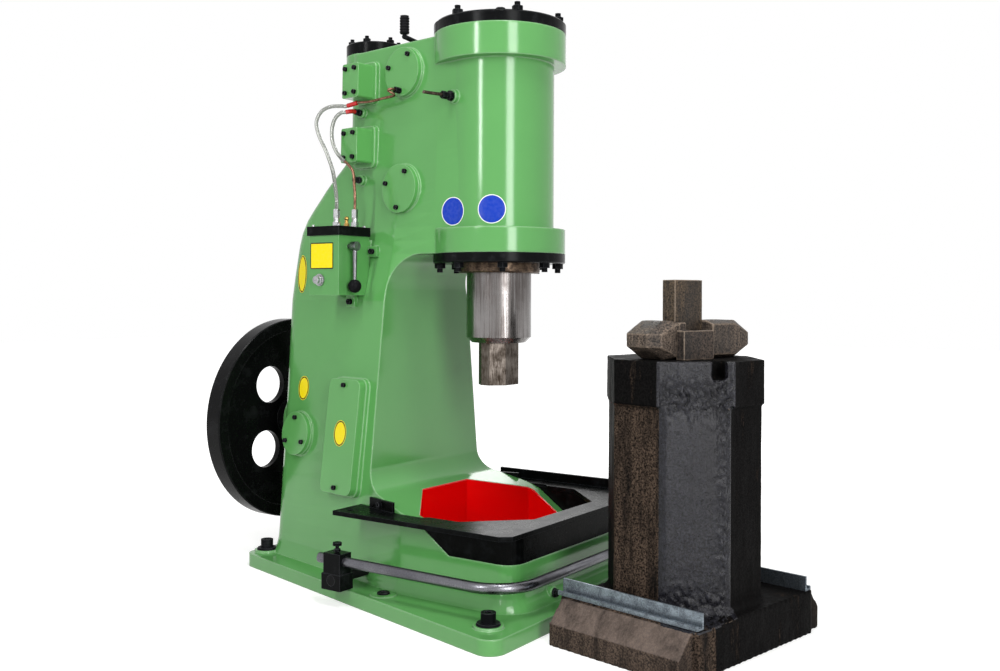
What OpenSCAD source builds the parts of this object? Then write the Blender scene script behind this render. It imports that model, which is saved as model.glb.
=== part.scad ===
// Self-contained air forging hammer with its anvil standing apart in front.
// Millimetres. Ram axis on Z, floor at z = 0, front at -Y, flywheel at +Y.

/* [Base] */
// Thickness of the base plate
base_t = 38; // [28:1:50]
// Half width of the base plate along its front edge
base_front_hw = 512; // [490:1:560]
// Half width of the base plate along its rear edge
base_rear_hw = 265; // [250:1:300]
// Front edge of the base plate, ahead of the ram axis
base_front_len = 348; // [336:1:400]
// Rear edge of the base plate, behind the ram axis
base_rear_len = 750; // [735:1:800]
// Corner radius of the base plate
base_r = 42; // [20:1:55]
// Height of the raised bolt seats on the plate
seat_h = 6; // [3:0.5:10]
// Radius of the raised bolt seats
seat_r = 50; // [42:1:56]

/* [Foundation] */
// Half spacing of the front foundation bolts
front_bolt_x = 429; // [415:1:440]
// Front foundation bolts, ahead of the ram axis
front_bolt_len = 272; // [260:1:285]
// Half spacing of the rear foundation bolts
rear_bolt_x = 205; // [202:1:212]
// Rear foundation bolts, behind the ram axis
rear_bolt_len = 712; // [710:1:714]
// Half spacing of the free foundation holes at the sides
side_hole_x = 364; // [355:1:372]
// Free foundation holes, behind the ram axis
side_hole_len = 108; // [95:1:120]
// Diameter of every foundation hole
found_hole_d = 28; // [26:0.5:32]
// Thread size of the foundation bolts
found_bolt_d = 24; // [20:1:25]

/* [Column] */
// Front face of the column, behind the ram axis
col_front = 255; // [245:1:270]
// Half width of the column front at the base plate
col_foot_hw = 284; // [270:1:295]
// Draft of each side wall, run over rise
col_draft = 0.115; // [0.1:0.005:0.12]
// Plan taper of the side walls at the foot
taper_foot = 0.21; // [0.18:0.01:0.23]
// Plan taper of the side walls at the head
taper_head = 0.13; // [0.11:0.005:0.15]
// Rear wall at the base plate, behind the ram axis
rear_foot = 704; // [690:1:708]
// Rear wall where the back begins to curve forward
rear_mid = 715; // [706:1:720]
// Rear wall of the head
rear_head = 500; // [490:1:512]
// Radius of the column's rear edges
rear_r = 58; // [40:1:66]
// Half width of the head at its top, in line with the column front
head_hw = 120; // [116:1:126]
// Height of the head's flat top
head_top = 1536; // [1526:1:1539]

/* [Throat and pit] */
// Height of the throat ceiling
throat_z = 932; // [925:1:940]
// Radius of the throat's upper corner
throat_r = 100; // [80:1:115]
// Radius at the foot of the column front
foot_r = 66; // [50:1:75]
// Half width of the pit housing
housing_hw = 302; // [296:1:308]
// Front wall of the pit housing, ahead of the ram axis
housing_len = 256; // [250:1:262]
// Height of the pit housing at the front
housing_z = 150; // [146:1:156]
// Height of the sloping deck behind the pit
deck_z = 272; // [266:1:280]
// Half width of the pit
pit_hw = 262; // [256:1:266]
// Rear wall of the pit, behind the ram axis
pit_rear = 188; // [184:1:192]
// Front wall of the pit, ahead of the ram axis
pit_front = 196; // [192:1:204]

/* [Front cylinder] */
// Outside radius of the front cylinder
cyl_r = 153.5; // [150:0.5:157]
// Radius of the flanges and covers of the front cylinder
flange_r = 186; // [182:1:190]
// Height of the top flange face
cyl_top = 1545; // [1541:1:1555]
// Thickness of the top flange
top_flange_h = 87; // [75:1:95]
// Thickness of the bottom flange
low_flange_h = 68; // [60:1:75]
// Thickness of the top cover
top_cover_h = 31; // [26:1:36]
// Thickness of the bottom cover
low_cover_h = 27; // [22:1:32]
// Pitch radius of the cover studs
stud_pcr = 166; // [164:0.5:169]
// Stud size of the cylinder covers
stud_d = 16; // [14:1:18]

/* [Rear cylinder] */
// Axis of the rear cylinder, behind the ram axis
rear_cyl_y = 464; // [458:1:470]
// Radius of the rear flange and cover
rear_flange_r = 88; // [85:1:92]
// Height of the rear flange face
rear_top = 1540; // [1540:1:1548]
// Thickness of the rear flange
rear_flange_h = 82; // [70:1:90]
// Thickness of the rear cover
rear_cover_h = 35; // [28:1:40]

/* [Ram] */
// Diameter of the ram
ram_d = 181.8; // [176:0.2:184]
// Underside of the ram at rest
ram_z = 685; // [675:1:695]
// Chamfer round the underside of the ram
ram_chamfer = 15; // [8:1:18]
// Running clearance of the ram on radius
ram_gap = 0.08; // [0.05:0.01:0.1]
// Outside radius of the bronze gland
gland_r = 115; // [111:1:120]
// Height of the gland below the bottom cover
gland_h = 26; // [20:1:30]
// Upper die size across, side to side
die_w = 128; // [116:1:134]
// Upper die size across, front to back
die_d = 92; // [84:1:98]
// Corner chamfer of the upper die
die_cut = 32; // [24:1:36]
// Working face of the upper die at rest
die_z = 567; // [560:1:575]

/* [Flywheel] */
// Height of the crankshaft axis
shaft_z = 420; // [415:1:430]
// Outside radius of the flywheel
wheel_r = 318; // [300:1:325]
// Rim width of the flywheel
wheel_w = 58; // [50:1:66]
// Front face of the rim, behind the ram axis
wheel_y = 801; // [800:1:815]
// Radial thickness of the rim
rim_t = 36; // [28:1:42]
// Radius of the holes in the web
web_hole_r = 58; // [48:1:62]
// Pitch radius of the holes in the web
web_hole_pcr = 144; // [138:1:152]
// Crankshaft diameter in the bearing
shaft_d = 60; // [52:1:66]
// Running clearance of the crankshaft on radius
shaft_gap = 0.05; // [0.03:0.01:0.1]

/* [Treadle] */
// Bar diameter of the treadle
bar_d = 27; // [24:0.5:30]
// Half spacing of the treadle arms
bar_hw = 402; // [396:1:408]
// Front run of the treadle, ahead of the ram axis
bar_front = 312; // [306:1:322]
// Height of the treadle bar at rest
bar_z = 116; // [114:1:122]
// Bend radius of the treadle corners
bar_bend = 112; // [95:1:125]
// Treadle pivot, behind the ram axis
pivot_y = 236; // [230:1:242]
// Height of the treadle pivot
pivot_z = 68; // [66:1:71]
// Diameter of the treadle cross shaft
pivot_d = 28; // [24:0.5:30]

/* [Tray] */
// Half width of the tray flange
tray_hw = 371; // [364:1:378]
// Front edge of the tray flange, ahead of the ram axis
tray_front = 286; // [280:1:292]
// Top of the tray flange
tray_z = 237; // [230:1:242]
// Plate thickness of the tray
tray_t = 12; // [8:0.5:14]
// Height of the upstand along the far wing
tray_lip = 27; // [20:1:34]

/* [Lubricator] */
// Width of the oil box, front to back
lub_w = 113; // [106:1:120]
// Depth of the oil box, out from the column
lub_d = 126; // [118:1:134]
// Height of the oil box
lub_h = 168; // [160:1:176]
// Underside of the oil box
lub_z = 815; // [808:1:822]
// Front face of the oil box, behind the ram axis
lub_y = 342; // [338:1:348]
// Thickness of the oil box lid
lub_lid_h = 26; // [20:1:32]
// Length of the hand pump lever, pivot to ball
pump_len = 112; // [104:1:116]
// Diameter of the ball on the pump lever
pump_ball_d = 38; // [34:1:42]

/* [Anvil] */
// Sideways position of the anvil axis
anvil_x = -105; // [-120:1:-90]
// Anvil axis, ahead of the ram axis
anvil_len = 629; // [622:1:670]
// Ledge of the anvil's foot beside the column
foot_ledge = 66; // [54:1:78]
// Depth of the anvil's foot, front to back
foot_depth = 394; // [386:1:410]
// Width of the bevelled bar along each side of the foot
foot_bevel = 54; // [44:1:60]
// Height of the anvil's foot
foot_h = 104; // [96:1:112]
// Size of the anvil column across flats
anvil_af = 343; // [336:1:350]
// Height of the anvil column
anvil_h = 566; // [550:1:575]
// Height of the collar on the anvil column
collar_h = 103; // [96:1:114]
// Size of the collar across flats
collar_af = 369; // [362:1:376]
// Height of the die holder
holder_h = 90; // [84:1:96]
// Height of the lower die above the holder
lower_die_h = 96; // [90:1:104]

/* [Hidden] */
$fn = 48;
e = 0.01;
paint = "#5a9b5e";
black = "#1b1b1d";
steel = "#8d8d8c";
rusty = "#4a4039";
copper = "#a86a4b";

// Half width of the side wall at the column front, for a height
shoulder_z = throat_z - 132;
shoulder_hw = col_foot_hw - col_draft * (shoulder_z - base_t);
function wall_hw(z) = lookup(z, [[base_t, col_foot_hw], [shoulder_z, shoulder_hw],
    [throat_z, shoulder_hw * 0.83], [throat_z + 90, head_hw + 26], [throat_z + 186, head_hw + 13],
    [throat_z + 370, head_hw + 4], [head_top, head_hw]]);
function wall_taper(z) = lookup(z, [[base_t, taper_foot], [shoulder_z, taper_head], [head_top, taper_head]]);
function wall_x(y, z) = wall_hw(z) - wall_taper(z) * (y - col_front);
rear_step = rear_mid - rear_head;
function rear_y(z) = lookup(z, [[base_t, rear_foot], [throat_z - 432, rear_foot - 3], [throat_z - 132, rear_foot],
    [throat_z - 60, rear_mid - 4], [throat_z, rear_mid], [throat_z + 38, rear_mid - 1],
    [throat_z + 76, rear_mid - rear_step * 0.03], [throat_z + 114, rear_mid - rear_step * 0.11],
    [throat_z + 146, rear_mid - rear_step * 0.23], [throat_z + 178, rear_mid - rear_step * 0.365],
    [throat_z + 202, rear_mid - rear_step * 0.47], [throat_z + 224, rear_mid - rear_step * 0.585],
    [throat_z + 262, rear_mid - rear_step * 0.80], [throat_z + 286, rear_mid - rear_step * 0.93],
    [throat_z + 312, rear_head], [head_top, rear_head]]);

// Half outline at one height: pit housing with a cove into the plate below, head above
kink_y = 105;
tray_low = tray_z - tray_t;
house_top = deck_z + 130;
arc_n = 6;
head_front_hw = cyl_r - 3;
function cove(z) = let (h = 56, q = max(0, 1 - (z - base_t) / h)) 34 * q * q;
function arc(cx, cy, r, a0, a1) = [for (i = [0 : arc_n]) let (a = a0 + (a1 - a0) * i / arc_n)
    [cx + r * cos(a), cy + r * sin(a)]];
function front_part(z) = let (g = cove(z), hw = housing_hw + g, fy = -housing_len - g, r = 46 + g)
    z > house_top
    ? concat([for (i = [0 : arc_n + 1]) let (a = 90 * i / (arc_n + 1)) [head_front_hw * sin(a), -head_front_hw * 0.6 * cos(a)]],
        [[min(head_front_hw, wall_x(110, z)), 110]])
    : concat([[0, fy]], arc(hw - r, fy + r, r, -90, 0), [[hw, kink_y]]);
function half_ring(z) = let (g = cove(z) * 0.4, t = atan(wall_taper(z)), cy = rear_y(z) - rear_r,
        cx = wall_x(cy, z) - rear_r / cos(t))
    concat(front_part(z), [[wall_x(col_front, z) + g, col_front]], arc(cx, cy, rear_r + g, t, 90), [[0, rear_y(z) + g]]);
function ring(z) = let (h = half_ring(z), n = len(h))
    concat([for (p = h) [p[0], p[1], z]], [for (i = [n - 2 : -1 : 1]) [-h[i][0], h[i][1], z]]);
levels = [base_t - 8, base_t, base_t + 7, base_t + 16, base_t + 28, base_t + 42, base_t + 56, housing_z - 6,
    (housing_z + tray_low) / 2, tray_low, tray_z + 40, tray_z + 90, house_top, throat_z - 432, throat_z - 132, throat_z - 60,
    throat_z, throat_z + 38, throat_z + 76, throat_z + 114, throat_z + 146,
    throat_z + 178, throat_z + 202, throat_z + 224, throat_z + 262, throat_z + 286, throat_z + 312, throat_z + 370,
    head_top];

module loft(rings) {
    n = len(rings[0]);
    m = len(rings);
    polyhedron(points = [for (r = rings) each r],
        faces = concat([[for (i = [0 : n - 1]) i]],
            [[for (i = [n - 1 : -1 : 0]) (m - 1) * n + i]],
            [for (k = [0 : m - 2], i = [0 : n - 1]) let (j = (i + 1) % n, a = k * n + i, b = k * n + j)
                each i < n / 2 ? [[b, a, a + n], [b, a + n, b + n]] : [[b, a, b + n], [a, a + n, b + n]]]));
}

// Outline of a plate with round corners, exact arcs
module round_plate(w, h, r, t) {
    linear_extrude(t) {
        square([w - 2 * r, h], center = true);
        square([w, h - 2 * r], center = true);
        for (x = [-1, 1], y = [-1, 1])
            translate([x * (w / 2 - r), y * (h / 2 - r)])
                circle(r);
    }
}

// Lifts children out to the near side wall, +Z pointing out of it and +X up
draft_a = atan(col_draft);
module on_wall(y, z, draft) {
    translate([-wall_x(y, z), y, z])
        rotate([0, 0, -atan(wall_taper(z))])
            rotate([0, -90 + draft, 0])
                children();
}

// Positions shared by covers, pads and screws on the near wall
valve_y = 238;
upper_valve_z = throat_z + 518;
lower_valve_z = throat_z + 186;
valve_cover_r = 69;
valve_screw_pcr = 54;
valve_screw_a = [-31, 72, 175];
pad_h = 8;
port_y = 398;
upper_port_z = throat_z + 505;
lower_port_z = throat_z + 317;
port_w = 70;
port_h = 100;
port_t = 58;
port_pad = 14;
port_rim = 11;
access_y = 362;
access_z = 414;
access_w = 140;
access_h = 322;
access_t = 20;
access_pad = 14;
access_rim = 5;
bearing_y = 596;
bearing_cover_z = 401;
bearing_cover_r = 64;
bearing_screw_a = [2, 122, 242];
cover_t = 12;
screw_d = 8;
screw_in = 14;

// Socket head screw standing on z = 0, shank going down
module cap_screw(d, grip) {
    difference() {
        union() {
            cylinder(r = d * 0.82, h = d);
            translate([0, 0, -grip])
                cylinder(r = d / 2, h = grip + e);
        }
        translate([0, 0, d * 0.45])
            cylinder(r = d * 0.42, h = d, $fn = 6);
    }
}
module screw_hole(d, grip) {
    translate([0, 0, -grip - 1])
        cylinder(r = d / 2 + 0.2, h = grip + 2);
}
// Stud end with a hexagon nut standing on z = 0
module stud_nut(d, grip) {
    cylinder(r = d * 0.95, h = d * 0.85, $fn = 6);
    translate([0, 0, -grip])
        cylinder(r = d / 2, h = grip + d * 1.55);
}
module at_valve_screws() {
    for (a = valve_screw_a)
        rotate([0, 0, a])
            translate([valve_screw_pcr, 0, 0])
                children();
}
module at_port_screws() {
    for (u = [-1, 1], v = [-1, 1])
        translate([u * (port_h / 2 - 15), v * (port_w / 2 - 15), 0])
            children();
}
module at_access_screws() {
    for (u = [-1, 1])
        translate([u * (access_h / 2 - 17), 0, 0])
            children();
}
module at_bearing_screws() {
    for (a = bearing_screw_a)
        rotate([0, 0, a])
            translate([bearing_cover_r - 17, 0, 0])
                children();
}
module at_front_studs(n, a0) {
    for (i = [0 : n - 1])
        rotate([0, 0, a0 + i * 360 / n])
            translate([stud_pcr, 0, 0])
                children();
}
rear_stud_pcr = rear_flange_r - 17;
rear_stud_d = 12;
module at_rear_studs() {
    for (i = [0 : 5])
        translate([0, rear_cyl_y, 0])
            rotate([0, 0, 20 + i * 60])
                translate([rear_stud_pcr, 0, 0])
                    children();
}
module at_found_bolts() {
    for (s = [-1, 1]) {
        translate([s * front_bolt_x, -front_bolt_len, 0])
            children();
        translate([s * rear_bolt_x, rear_bolt_len, 0])
            children();
    }
}
module at_side_holes() {
    for (s = [-1, 1])
        translate([s * side_hole_x, side_hole_len, 0])
            children();
}

// Oil bosses on the near wall: height, distance behind the ram axis
boss_r = 15;
boss_h = 14;
boss_a = [421, throat_z + 422];
boss_b = [414, throat_z + 222];
module at_oil_bosses() {
    for (b = [boss_a, boss_b])
        translate([-wall_x(b[0], b[1]), b[0], b[1]])
            rotate([0, -90, 0])
                children();
}
cyl_boss_z = cyl_top - 186;
cyl_boss_a = 163;
cyl_boss_x = cyl_r + 12;
module at_cylinder_boss() {
    rotate([0, 0, cyl_boss_a])
        translate([cyl_boss_x, 0, cyl_boss_z])
            rotate([0, 90, 0])
                children();
}

// Oil box seat, ears and fittings
lub_mid_y = lub_y + lub_w / 2;
lub_top = lub_z + lub_h;
lub_seat_x = wall_x(lub_mid_y, lub_z + lub_h * 0.35) + 4;
lub_bolt_d = 10;
ear_t = 12;
ear_y1 = lub_y - 16;
ear_z1 = lub_z + lub_h * 0.75;
ear_x1 = lub_seat_x - 8;
ear_y2 = lub_mid_y - 14;
ear_z2 = lub_z - 18;
ear_x2 = wall_x(ear_y2, ear_z2) + 3;
module at_lub_bolts() {
    translate([-ear_x1, ear_y1, ear_z1])
        rotate([0, -90, 0])
            children();
    translate([-ear_x2, ear_y2, ear_z2])
        rotate([0, -90, 0])
            children();
}
module lub_ears() {
    translate([-ear_x1 - ear_t, ear_y1 - 15, ear_z1 - 15])
        cube([ear_t, 37, 30]);
    translate([-ear_x2 - ear_t, ear_y2 - 15, ear_z2 - 15])
        cube([ear_t, 30, 38]);
}
pump_x = -lub_seat_x - 84;
pump_z = lub_z + lub_h * 0.82;
sight_y = lub_y + 70;
sight_z = lub_z + 43;
outlet_h = 50;
outlet_xy = [[-lub_seat_x - 82, lub_y + 50], [-lub_seat_x - 62, lub_y + 30], [-lub_seat_x - 46, lub_y + 13]];
module at_lid_screws() {
    for (x = [12, lub_d - 8], y = [8, lub_w - 8])
        translate([-lub_seat_x - x, lub_y + y, lub_top + lub_lid_h])
            children();
}

// Places shared by covers, plugs and the tray
top_stud_a = 51;
low_stud_a = 38;
plug_x = -96;
plug_y = -68;
spigot_r = ram_d / 2 + 11;
drain_x = -150;
drain_y = -housing_len - 24;
drain_z = base_t + 20;
washer_t = 6;
washer_r = found_bolt_d * 1.25;
cover_room = 1.5;
found_seat_r = min(seat_r, base_rear_len - rear_bolt_len - 1);
ear_gap = 0.05;
tray_screw_d = 10;
ear_hw = wall_x(col_front, tray_low);
function ear_px(y) = housing_hw + (y - kink_y) / (col_front - kink_y) * (ear_hw - housing_hw);
ear_a = atan((housing_hw - ear_hw) / (col_front - kink_y));
ear_mid_y = 184;
ear_mid_x = ear_px(ear_mid_y);

// Crankshaft and its bearing
bearing_r = 95;
bush_r = shaft_d / 2 + 12;
bush_y0 = rear_foot - 60;
bush_y1 = wheel_y - 42;
shaft_y0 = bush_y0 - 40;
web_t = 20;
hub_r = 62;
hub_y0 = wheel_y - 30;
hub_y1 = wheel_y + wheel_w + 14;
key_w = 16;
key_h = 10;

// Treadle
shaft_bore_r = pivot_d / 2 + 0.06;
clamp_w = 58;
clamp_d = 44;
clamp_z0 = pivot_z - 25.5;
clamp_z1 = bar_z + 22;
bar_tail = pivot_y + 62;

module base_plate() {
    hull() {
        for (s = [-1, 1]) {
            translate([s * (base_front_hw - base_r), -base_front_len + base_r, 0])
                cylinder(r = base_r, h = base_t, $fn = 32);
            translate([s * (base_rear_hw - base_r), base_rear_len - base_r, 0])
                cylinder(r = base_r, h = base_t, $fn = 32);
        }
    }
}

deck_mid_y = 50;
deck_mid_z = housing_z + (deck_z - housing_z) * 0.62;
deck_front_y = -58;
deck = [[-600, housing_z], [deck_front_y, housing_z], [deck_mid_y, deck_mid_z]];
foot_arc = [for (i = [0 : 9]) let (a = -72 + 8 * i)
    [col_front - foot_r + foot_r * cos(a), deck_z + foot_r * 0.951 + foot_r * sin(a)]];
module throat_cut() {
    rotate([90, 0, 90])
        translate([0, 0, -700])
            linear_extrude(1400)
                difference() {
                    polygon(concat(deck, foot_arc, [[col_front, throat_z], [-600, throat_z]]));
                    difference() {
                        translate([col_front - throat_r, throat_z - throat_r])
                            square(throat_r + 1);
                        translate([col_front - throat_r, throat_z - throat_r])
                            circle(throat_r, $fn = 72);
                    }
                }
}
module under_deck() {
    rotate([90, 0, 90])
        translate([0, 0, -700])
            linear_extrude(1400)
                polygon(concat([[-600, 0]], deck, [foot_arc[0], [foot_arc[0][0], 0]]));
}
pit_rear_hw = 104;
pit_flare = 118;
pit_corner = 70;
module pit_outline() {
    polygon([[-pit_rear_hw, pit_rear], [pit_rear_hw, pit_rear], [pit_hw, pit_rear - pit_flare],
        [pit_hw, -pit_front + pit_corner], [pit_hw - pit_corner, -pit_front], [-pit_hw + pit_corner, -pit_front],
        [-pit_hw, -pit_front + pit_corner], [-pit_hw, pit_rear - pit_flare]]);
}

module frame() {
    color(paint)
        difference() {
            union() {
                base_plate();
                at_found_bolts()
                    cylinder(r = found_seat_r, h = base_t + seat_h);
                at_side_holes()
                    cylinder(r = seat_r * 0.7, h = base_t + seat_h * 0.4);
                difference() {
                    loft([for (z = levels) ring(z)]);
                    throat_cut();
                }
                translate([0, 0, throat_z])
                    cylinder(r = cyl_r, h = cyl_top - throat_z, $fn = 96);
                translate([0, 0, throat_z])
                    cylinder(r = flange_r, h = low_flange_h, $fn = 96);
                translate([0, 0, cyl_top - top_flange_h])
                    cylinder(r = flange_r, h = top_flange_h, $fn = 96);
                translate([0, rear_cyl_y, rear_top - rear_flange_h])
                    cylinder(r = rear_flange_r, h = rear_flange_h, $fn = 72);
                for (z = [upper_valve_z, lower_valve_z])
                    on_wall(valve_y, z, 1)
                        translate([0, 0, -40])
                            cylinder(r = valve_cover_r + 2, h = 40 + pad_h);
                for (z = [upper_port_z, lower_port_z])
                    on_wall(port_y, z, 1)
                        translate([0, 0, -40])
                            round_plate(port_h + 2 * port_rim, port_w + 2 * port_rim, 16, 40 + port_pad);
                on_wall(access_y, access_z, draft_a)
                    translate([0, 0, -40])
                        round_plate(access_h + 2 * access_rim, access_w + 2 * access_rim, 26, 40 + access_pad);
                on_wall(bearing_y, bearing_cover_z, draft_a)
                    translate([0, 0, -40])
                        cylinder(r = bearing_cover_r + 2, h = 40 + pad_h);
                at_oil_bosses()
                    translate([0, 0, -30])
                        cylinder(r = boss_r, h = 30 + boss_h);
                at_cylinder_boss()
                    translate([0, 0, -40])
                        cylinder(r = boss_r + 3, h = 40);
                translate([drain_x, drain_y, drain_z])
                    rotate([-90, 0, 0])
                        cylinder(r = 15, h = 50);
                translate([-lub_seat_x, lub_y + 8, lub_z + 10])
                    cube([60, lub_w - 16, lub_h - 20]);
                at_lub_bolts()
                    translate([0, 0, -50])
                        cylinder(r = 17, h = 50);
                translate([0, bush_y1, shaft_z])
                    rotate([90, 0, 0])
                        cylinder(r = bearing_r, h = bush_y1 - bush_y0 + 40, $fn = 64);
            }
            translate([0, 0, -1])
                linear_extrude(deck_z + 60)
                    pit_outline();
            translate([0, 0, throat_z - low_cover_h - cover_room])
                cylinder(r = flange_r + cover_room, h = low_cover_h + cover_room, $fn = 96);
            at_found_bolts()
                translate([0, 0, base_t + seat_h])
                    cylinder(r = washer_r + 1, h = washer_t + found_bolt_d);
            translate([0, 0, throat_z - 1])
                cylinder(r = ram_d / 2 + ram_gap, h = cyl_top - throat_z + 2, $fn = 96);
            translate([-lub_seat_x - lub_d, lub_y, lub_z])
                cube([lub_d, lub_w, lub_h]);
            lub_ears();
            at_found_bolts()
                translate([0, 0, -1])
                    cylinder(r = found_hole_d / 2, h = base_t + seat_h + 2);
            at_side_holes()
                translate([0, 0, -1])
                    cylinder(r = found_hole_d / 2, h = base_t + seat_h + 2);
            translate([0, bush_y1 + 1, shaft_z])
                rotate([90, 0, 0])
                    cylinder(r = bush_r, h = bush_y1 - bush_y0 + 1, $fn = 64);
            translate([0, bush_y0 + 1, shaft_z])
                rotate([90, 0, 0])
                    cylinder(r = shaft_d / 2 + 1, h = bush_y0 - shaft_y0 + 6);
            translate([-700, pivot_y, pivot_z])
                rotate([0, 90, 0])
                    cylinder(r = shaft_bore_r, h = 1400);
            at_front_studs(6, top_stud_a)
                translate([0, 0, cyl_top])
                    screw_hole(stud_d, 26);
            at_front_studs(8, low_stud_a)
                translate([0, 0, throat_z + 25])
                    screw_hole(stud_d, 26);
            at_rear_studs()
                translate([0, 0, rear_top])
                    screw_hole(rear_stud_d, 22);
            for (z = [upper_valve_z, lower_valve_z])
                on_wall(valve_y, z, 1)
                    translate([0, 0, pad_h])
                        at_valve_screws()
                            screw_hole(screw_d, screw_in);
            for (z = [upper_port_z, lower_port_z])
                on_wall(port_y, z, 1)
                    translate([0, 0, port_pad])
                        at_port_screws()
                            screw_hole(screw_d, screw_in);
            on_wall(access_y, access_z, draft_a)
                translate([0, 0, access_pad])
                    at_access_screws()
                        screw_hole(screw_d, screw_in);
            on_wall(bearing_y, bearing_cover_z, draft_a)
                translate([0, 0, pad_h])
                    at_bearing_screws()
                        screw_hole(screw_d, screw_in);
            at_lub_bolts()
                screw_hole(lub_bolt_d, 24);
            translate([drain_x, drain_y, drain_z])
                rotate([90, 0, 0])
                    screw_hole(14, 22);
            at_oil_bosses()
                translate([0, 0, boss_h])
                    screw_hole(10, 13);
            at_cylinder_boss()
                screw_hole(14, 15);
            at_tray_screws()
                screw_hole(tray_screw_d, 20);
            lever_seat()
                translate([0, 0, -40])
                    cylinder(r = lever_spindle_d / 2 + 0.06, h = 42);
        }
}

module front_cover() {
    color(black)
        difference() {
            union() {
                translate([0, 0, cyl_top])
                    cylinder(r = flange_r, h = top_cover_h - 4, $fn = 96);
                translate([0, 0, cyl_top + top_cover_h - 4])
                    cylinder(r1 = flange_r, r2 = flange_r - 4, h = 4, $fn = 96);
            }
            at_front_studs(6, top_stud_a)
                translate([0, 0, cyl_top + top_cover_h])
                    screw_hole(stud_d, top_cover_h);
            translate([plug_x, plug_y, cyl_top + top_cover_h])
                screw_hole(14, 16);
        }
}
module front_cover_nuts() {
    color(black)
        at_front_studs(6, top_stud_a)
            translate([0, 0, cyl_top + top_cover_h])
                stud_nut(stud_d, top_cover_h + 24);
}
module cover_plug() {
    color(black)
        translate([plug_x, plug_y, cyl_top + top_cover_h]) {
            cylinder(r = 17, h = 5);
            cylinder(r = 13, h = 19, $fn = 6);
            translate([0, 0, -14])
                cylinder(r = 7, h = 15);
        }
}
module rear_cover() {
    color(black)
        difference() {
            union() {
                translate([0, rear_cyl_y, rear_top])
                    cylinder(r = rear_flange_r, h = rear_cover_h - 3, $fn = 72);
                translate([0, rear_cyl_y, rear_top + rear_cover_h - 3])
                    cylinder(r1 = rear_flange_r, r2 = rear_flange_r - 3, h = 3, $fn = 72);
            }
            at_rear_studs()
                translate([0, 0, rear_top + rear_cover_h])
                    screw_hole(rear_stud_d, rear_cover_h);
        }
}
module rear_cover_nuts() {
    color(black)
        at_rear_studs()
            translate([0, 0, rear_top + rear_cover_h])
                stud_nut(rear_stud_d, rear_cover_h + 20);
}
module bottom_cover() {
    color(black)
        difference() {
            union() {
                translate([0, 0, throat_z - low_cover_h])
                    cylinder(r1 = flange_r - 3, r2 = flange_r, h = 3, $fn = 96);
                translate([0, 0, throat_z - low_cover_h + 3])
                    cylinder(r = flange_r, h = low_cover_h - 3, $fn = 96);
            }
            translate([0, 0, throat_z - low_cover_h - 1])
                cylinder(r = spigot_r, h = low_cover_h + 2, $fn = 96);
            at_front_studs(8, low_stud_a)
                translate([0, 0, throat_z])
                    screw_hole(stud_d, low_cover_h);
        }
}
module bottom_cover_nuts() {
    color(black)
        at_front_studs(8, low_stud_a)
            translate([0, 0, throat_z - low_cover_h])
                rotate([180, 0, 0])
                    stud_nut(stud_d, low_cover_h + 23);
}
module gland() {
    color(rusty)
        difference() {
            union() {
                translate([0, 0, throat_z - low_cover_h - gland_h])
                    cylinder(r1 = gland_r - 4, r2 = gland_r, h = 4, $fn = 96);
                translate([0, 0, throat_z - low_cover_h - gland_h + 4])
                    cylinder(r = gland_r, h = gland_h - 4, $fn = 96);
                translate([0, 0, throat_z - low_cover_h - 1])
                    cylinder(r = spigot_r, h = low_cover_h, $fn = 96);
            }
            translate([0, 0, throat_z - low_cover_h - gland_h - 1])
                cylinder(r = ram_d / 2 + ram_gap, h = low_cover_h + gland_h + 2, $fn = 96);
        }
}

module valve_cover(z) {
    on_wall(valve_y, z, 1)
        translate([0, 0, pad_h])
            difference() {
                cylinder(r = valve_cover_r, h = cover_t);
                translate([0, 0, cover_t])
                    at_valve_screws()
                        screw_hole(screw_d, cover_t);
            }
}
module upper_valve_cover() {
    color(paint)
        valve_cover(upper_valve_z);
}
module lower_valve_cover() {
    color(paint)
        valve_cover(lower_valve_z);
}
module valve_cover_screws() {
    color(black) {
        on_wall(valve_y, lower_valve_z, 1)
            translate([0, 0, pad_h + cover_t])
                at_valve_screws()
                    cap_screw(screw_d, cover_t + screw_in - 2);
        on_wall(valve_y, upper_valve_z, 1)
            translate([0, 0, pad_h + cover_t])
                for (a = [valve_screw_a[0], valve_screw_a[1]])
                    rotate([0, 0, a])
                        translate([valve_screw_pcr, 0, 0])
                            cap_screw(screw_d, cover_t + screw_in - 2);
    }
}
module port_cover(z) {
    on_wall(port_y, z, 1)
        translate([0, 0, port_pad])
            difference() {
                round_plate(port_h, port_w, 6, port_t);
                translate([0, 0, port_t])
                    at_port_screws()
                        screw_hole(screw_d, port_t);
            }
}
module upper_port_cover() {
    color(paint)
        port_cover(upper_port_z);
}
module lower_port_cover() {
    color(paint)
        port_cover(lower_port_z);
}
module port_cover_screws() {
    color(black)
        for (z = [upper_port_z, lower_port_z])
            on_wall(port_y, z, 1)
                translate([0, 0, port_pad + port_t])
                    at_port_screws()
                        cap_screw(screw_d, port_t + screw_in - 2);
}
module access_cover() {
    color(paint)
        on_wall(access_y, access_z, draft_a)
            translate([0, 0, access_pad])
                difference() {
                    round_plate(access_h, access_w, 22, access_t);
                    translate([0, 0, access_t])
                        at_access_screws()
                            screw_hole(screw_d, access_t);
                }
}
module access_cover_screws() {
    color(black)
        on_wall(access_y, access_z, draft_a)
            translate([0, 0, access_pad + access_t])
                at_access_screws()
                    cap_screw(screw_d, access_t + screw_in - 2);
}
module bearing_cover() {
    color(paint)
        on_wall(bearing_y, bearing_cover_z, draft_a)
            translate([0, 0, pad_h])
                difference() {
                    cylinder(r = bearing_cover_r, h = cover_t);
                    translate([0, 0, cover_t])
                        at_bearing_screws()
                            screw_hole(screw_d, cover_t);
                }
}
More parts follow.
